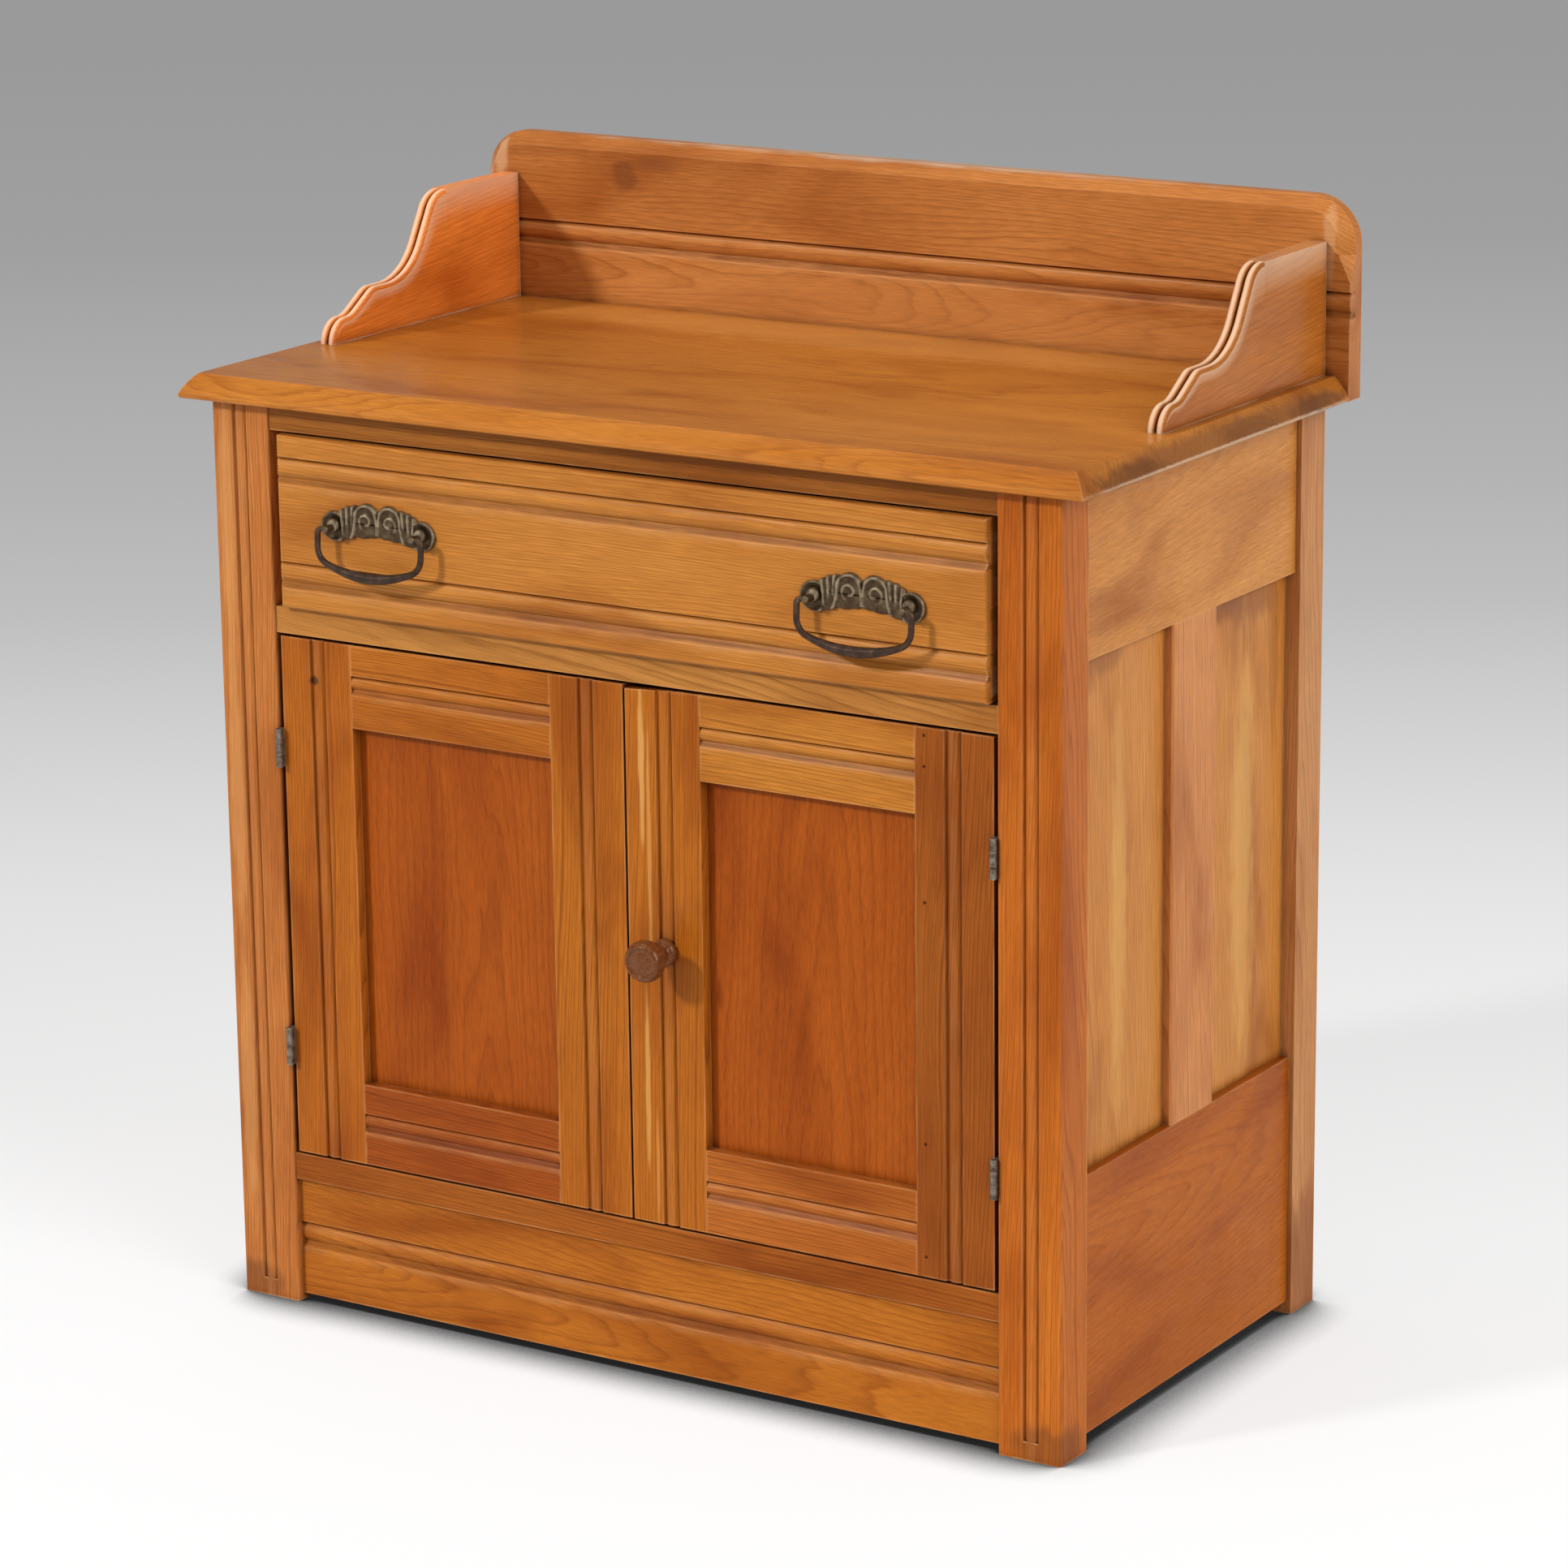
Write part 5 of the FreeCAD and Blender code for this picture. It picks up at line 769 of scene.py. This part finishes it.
def front_boards():
    """Cut, tones and other options of each board of the carcass front, the top and the drawer."""
    drawer_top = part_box("drawer_front")[1].z / MM
    under_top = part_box("top_board")[0].z / MM
    return {
        "top_board": ("x", "z", ("#B7722A", "#8F4D1A"), dict(
            ring=4.2, pith=(70, 40), lean=(0.03, 0.02), wander=9, gloss=0.28, coat=0.15, contrast=0.6,
            marks=TOP_MARKS)),
        "backsplash": ("x", "y", ("#BB773B", "#965525"), dict(
            ring=3.4, pith=(50, 25), lean=(0.04, -0.02), wander=8, contrast=0.7, marks=SPLASH_MARKS,
            beads=level_beads(under_top, -SPLASH_QUIRK))),
        # Its tones are darkened as a painted shadow under the top board's overhang.
        "top_rail_front": ("x", "y", ("#9D6126", "#7B4214"), dict(
            ring=2.6, pith=(20, 160), lean=(0.0, 0.01))),
        "middle_rail_front": ("x", "y", ("#BA803F", "#8A5722"), dict(
            ring=5.5, pith=(60, 30), lean=(0.0, 0.12), wander=4, contrast=0.9)),
        "bottom_rail_front": ("x", "y", ("#9E571A", "#783B0D"), dict(ring=2.8, pith=(30, 140))),
        "plinth_front": ("x", "y", ("#B56C20", "#894511"), dict(
            ring=4.0, pith=(45, 30), lean=(0.05, 0.03), wander=8, contrast=0.7,
            beads=level_beads(PLINTH_QUIRK, 0.0))),
        "drawer_front": ("x", "y", ("#C07F38", "#9C5A1E"), dict(
            ring=2.1, pith=(30, 190), lean=(0.0, 0.015), wander=6, wear=0.4, grime_and_shade=0.55, marks=DRAWER_EDGE,
            beads=level_beads(drawer_top, *DRAWER_QUIRKS))),
        "front_post_left": ("z", "y", ("#BE763A", "#965323"), dict(
            ring=2.8, pith=(40, -120), wear=0.5, marks=WASHED_LEFT + POST_FEET,
            beads=upright_bead("front_post_left", -1, POST_QUIRK))),
        "front_post_right": ("z", "y", ("#BD6921", "#964A11"), dict(
            ring=2.8, pith=(40, 120), wear=0.5, marks=POST_FEET,
            beads=upright_bead("front_post_right", 1, POST_QUIRK))),
    }


def door_boards(word, flip):
    """Cut, tones and other options of the five boards of one door."""
    door = "door_" + word + "_"
    rails = {}
    for place in ("top", "bottom"):
        rails[place] = level_beads(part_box(door + "rail_" + place)[1].z / MM, RAIL_QUIRK, scale=RAIL_SCALE)
    right = word == "right"
    hinge_tones = ("#99531A", "#73380D") if right else ("#B0631B", "#85430F")
    top_tones = ("#C07D31", "#91551C") if right else ("#B26820", "#874611")
    foot_tones = ("#AE6224", "#864414") if right else ("#9A4C16", "#74320A")
    panel_lean = (0.075, 0.02) if right else (0.06, -0.03)
    hinge = door + "stile_hinge"
    meeting = door + "stile_meeting"
    return {
        hinge: ("z", "y", hinge_tones, dict(
            ring=2.6, pith=(30, 130 * flip), marks=NAIL_HOLES if right else KNOT,
            beads=upright_bead(hinge, -flip, STILE_QUIRK))),
        meeting: ("z", "y", ("#B2671C", "#86450F"), dict(
            ring=2.8, pith=(30, -120 * flip), marks=SAPWOOD if right else (),
            beads=upright_bead(meeting, flip, STILE_QUIRK))),
        door + "rail_top": ("x", "y", top_tones, dict(ring=2.7, pith=(30, 130), beads=rails["top"])),
        door + "rail_bottom": ("x", "y", foot_tones, dict(
            ring=2.7, pith=(25, 120), beads=rails["bottom"])),
        door + "panel": ("z", "y", ("#A45113", "#7F370A"), dict(
            ring=6.5, pith=(26, 8 if right else 16), lean=panel_lean, wander=9, contrast=0.55, wear=0.1)),
    }


def side_boards(word):
    """Cut, tones and other options of the boards of one side."""
    tones = ("#CC8A43", "#AF682E")
    return {
        "rear_post_" + word: ("z", "y", ("#C98E57", "#AB6D3B"), dict(
            ring=3.0, pith=(30, 90), marks=REAR_FEET)),
        "side_top_rail_" + word: ("y", "x", tones, dict(
            ring=4.2, pith=(40, 55), lean=(0.06, 0.05), contrast=0.45, grime_and_shade=1.0)),
        "side_bottom_rail_" + word: ("y", "x", ("#B56216", "#893E08"), dict(
            ring=4.4, pith=(38, 40), lean=(0.08, 0.05), contrast=0.45)),
        "side_muntin_" + word: ("z", "x", ("#CF8A50", "#B26A38"), dict(ring=2.6, pith=(25, 150))),
        "side_panels_" + word: ("z", "x", tones, dict(
            ring=3.0, pith=(60, 170), grime_and_shade=1.0, contrast=0.7, marks=PANEL_MARKS)),
    }


def dress_boards():
    """Gives every wooden node pine cut the way that board is: its own grain, rings, tone and marks."""
    boards = front_boards()
    for word, flip in (("left", -1), ("right", 1)):
        boards.update(door_boards(word, flip))
        boards.update(side_boards(word))
    for index, (node, (along, through, tones, options)) in enumerate(boards.items()):
        wood = pine("varnished_pine_" + node, node, along, through, *tones, seed=index * 1.37, **options)
        dress(node, wood)

    bare = dict(coat=0.0, gloss=0.62, wear=0.1, grime_and_shade=0.6)
    inner = {"drawer_side_left": ("y", "x"), "drawer_side_right": ("y", "x"), "drawer_back": ("x", "y"),
             "drawer_bottom": ("x", "z"), "drawer_runner_left": ("y", "z"), "drawer_runner_right": ("y", "z"),
             "drawer_kickers": ("y", "z"), "back_boards": ("z", "y"), "cupboard_floor": ("x", "z"),
             "floor_cleats": ("y", "x"), "top_glue_blocks": ("x", "y"), "rear_top_rail": ("x", "y"),
             "rear_bottom_rail": ("x", "y"), "knob_catch": ("z", "y"), "left_button": ("x", "y")}
    for index, (node, (along, through)) in enumerate(inner.items()):
        stain = DRAWER_END_STAIN.get(node.removeprefix("drawer_side_"), ())
        bare["grime_and_shade"] = 0.15 if stain else 0.6
        dress(node, pine("bare_pine_" + node, node, along, through, *BARE, ring=4.0, pith=(40, 50),
                         seed=40 + index * 1.91, contrast=0.7, marks=stain, **bare))


def dress_fittings():
    """Replaces the galleries, pulls and knob with finished pieces and gives the metal its materials."""
    for index, word in enumerate(("left", "right")):
        tones = (("#E58335", "#B4581E"), ("#B76E2A", "#8F4917"))[index]
        wood = pine("varnished_pine_gallery_" + word, "gallery_" + word, "y", "x", *tones, ring=3.4,
                    pith=(40, 60), lean=(0.02, 0.08), wander=5, contrast=0.6, seed=70 + index * 3.1,
                    grime_and_shade=0.95, crest="rubbed_and_lit", bared_and_lit=REED_WORN_AND_LIT)
        gallery(word, wood)
    bronze = cast_bronze("patinated_cast_bronze", ("#3D2C1C", "#5A4630", "#706043"), "#A8967A", 0.7, "rubbed_and_lit")
    handle = cast_bronze("handled_cast_bronze", ("#291A10", "#3E2818", "#563C26"), "#94795A", 0.35, "rubbed_and_lit")
    for word in ("left", "right"):
        pivot = np.array(joints[word + "_bail_swing"]["pos_m"]) / MM
        pull_plate(word, pivot, bronze)
        for side_word, side in (("inner", 1), ("outer", -1)):
            pull_boss(word, side_word, pivot, side, bronze)
        pull_bail(word, pivot, handle)
    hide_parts("pull_plates", "pull_posts")
    knob_piece(knob_wood("polished_turned_hardwood"))
    steel = tarnished_steel("tarnished_pressed_steel")
    for node in ("hinge_post_leaves_left", "hinge_post_leaves_right", "hinge_door_leaves_left",
                 "hinge_door_leaves_right", "left_button_screw"):
        dress(node, steel)


# ---- studio ----
CAMERA_PLACE = Vector((2.25144, -3.56120, 1.56008))
AZIMUTH = math.radians(32.15)
ELEVATION = math.radians(15.02)
ROLL = math.radians(-0.68)
LENS = 126.32
SENSOR = 36.0
KEY_WAY = (9.5, 14, -9.8)
PAPER_LIT = 0.25  # share of the paper's colour that lamps light
PAPER_GLOW = 0.70  # share that shows in any light
FLOOR_SAMPLES = 16
# Painted shadow close under the cupboard: how dark the paper is for how much open air is left over it.
CONTACT_SHADOW_SHADES = ((0.40, "#282828"), (0.54, "#6C6C6C"), (0.69, "#CCCCCC"), (0.85, "#FFFFFF"))
BACKDROP = [(3.75, "#FFFFFF"), (4.35, "#FCFCFC"), (4.85, "#EFEFEF"), (5.39, "#E3E3E3"), (5.94, "#D3D3D3"),
            (6.66, "#BEBEBE"), (7.38, "#B3B3B3"), (9.41, "#9F9F9F"), (12.1, "#999999")]


def studio_camera():
    """Camera at the place, direction and small roll that the cupboard is seen from."""
    forward = Vector((-math.sin(AZIMUTH) * math.cos(ELEVATION), math.cos(AZIMUTH) * math.cos(ELEVATION),
                      -math.sin(ELEVATION)))
    level = Vector((math.cos(AZIMUTH), math.sin(AZIMUTH), 0))
    upright = level.cross(forward)
    right = level * math.cos(ROLL) + upright * math.sin(ROLL)
    up = upright * math.cos(ROLL) - level * math.sin(ROLL)
    camera = bpy.data.objects.new("studio_camera", bpy.data.cameras.new("studio_camera"))
    camera.matrix_world = Matrix.LocRotScale(CAMERA_PLACE, Matrix((right, up, -forward)).transposed(), None)
    camera.data.lens = LENS
    camera.data.sensor_width = SENSOR
    camera.data.clip_end = 100.0
    bpy.context.scene.collection.objects.link(camera)
    bpy.context.scene.camera = camera


def seamless_paper(name):
    """Matt background paper: white by the cupboard, greyer with distance; it takes the cupboard's shadow.

    The colour runs with the distance from the camera's foot in its looking direction. Camera rays get a
    share of it as plain brightness and the rest as lit paper, so the shadow stays; other rays see pale paper.
    Close under the cupboard both are darkened by a painted shadow, where little open air is left over the
    paper.
    """
    material, add = new_material(name)
    place = add("TexCoord")["Object"]
    ahead = Vector((-math.sin(AZIMUTH), math.cos(AZIMUTH), 0))
    away = add("VectorMath", {0: place, 1: ahead}, operation="DOT_PRODUCT")["Value"]
    start = CAMERA_PLACE.dot(ahead)
    near, far = BACKDROP[0][0], BACKDROP[-1][0]
    share = add("MapRange", {0: away, 1: start + near, 2: start + far, 3: 0.0, 4: 1.0})[0]
    stops = [((distance - near) / (far - near), code) for distance, code in BACKDROP]
    paper = add("ValToRGB", {0: share}, stops=stops)[0]
    # Painted shadow close under the cupboard, from how little open air is left over the paper.
    open_air = add("AmbientOcclusion", {"Distance": 80 * MM}, samples=FLOOR_SAMPLES)["AO"]
    painted_contact_shadow = add("ValToRGB", {0: open_air}, stops=CONTACT_SHADOW_SHADES)[0]
    glow = add("MixRGB", {0: 1.0, 1: paper, 2: painted_contact_shadow}, blend_type="MULTIPLY")[0]
    lit = add("MixRGB", {0: 1.0, 1: glow, 2: (PAPER_LIT,) * 3 + (1,)}, blend_type="MULTIPLY")[0]
    seen = add("AddShader", {
        0: add("BsdfDiffuse", {"Color": lit})[0],
        1: add("Emission", {"Color": glow, "Strength": PAPER_GLOW})[0]})
    plain = add("BsdfDiffuse", {"Color": (0.7, 0.7, 0.7, 1)})
    ray = add("LightPath")["Is Camera Ray"]
    mixed = add("MixShader", {0: ray, 1: plain[0], 2: seen[0]})
    add("OutputMaterial", {0: mixed[0]})
    return material


def studio_floor():
    """Level sheet of paper, far larger than the view."""
    side = np.array((-30.0, 30.0))
    x, y = np.meshgrid(side, side)
    points = np.stack([x.ravel(), y.ravel(), np.full(4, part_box("front_post_left")[0].z)], axis=1)
    mesh = bpy.data.meshes.new("paper_floor")
    mesh.from_pydata(points.tolist(), [], [(0, 1, 3, 2)])
    mesh.materials.append(seamless_paper("matt_background_paper"))
    floor = bpy.data.objects.new("paper_floor", mesh)
    bpy.context.scene.collection.objects.link(floor)


def studio_light():
    """Soft key from the upper left in front, a wide fill from the right, and even light from all round.

    A lamp is (way of its light, width in degrees, strength, whether it shows in gloss). The key is split in
    two, so that only a quarter of it glints.
    """
    lamps = {"key_softbox": (KEY_WAY, 7.0, 1.65, False), "key_sheen": (KEY_WAY, 7.0, 0.55, True),
             "fill_softbox": ((-15, 3, -8), 40.0, 1.7, True), "top_softbox": ((1, 2, -12), 60.0, 0.7, True)}
    for name, (travel, width, strength, mirrored) in lamps.items():
        lamp = bpy.data.lights.new(name, "SUN")
        lamp.energy = strength
        lamp.angle = math.radians(width)
        light = bpy.data.objects.new(name, lamp)
        light.rotation_mode = "QUATERNION"
        light.rotation_quaternion = Vector(travel).to_track_quat("-Z", "Y")
        light.visible_glossy = mirrored
        bpy.context.scene.collection.objects.link(light)
    world = bpy.data.worlds.new("studio")
    world.use_nodes = True
    world.node_tree.nodes.clear()
    add = partial(add_node, world.node_tree)
    rays = add("LightPath")
    mirrored = add("MapRange", {0: rays["Is Glossy Ray"], 3: 0.42, 4: 0.24})[0]
    room = add("Background", {"Color": (1, 1, 1, 1), "Strength": mirrored})
    seen = add("Background", {"Color": linear("#C4C4C4"), "Strength": 1.0})
    mixed = add("MixShader", {0: rays["Is Camera Ray"], 1: room[0], 2: seen[0]})
    add("OutputWorld", {0: mixed[0]})
    bpy.context.scene.world = world


studio_camera()
dress_boards()
dress_fittings()
studio_floor()
studio_light()
bpy.context.scene.view_settings.view_transform = "Standard"
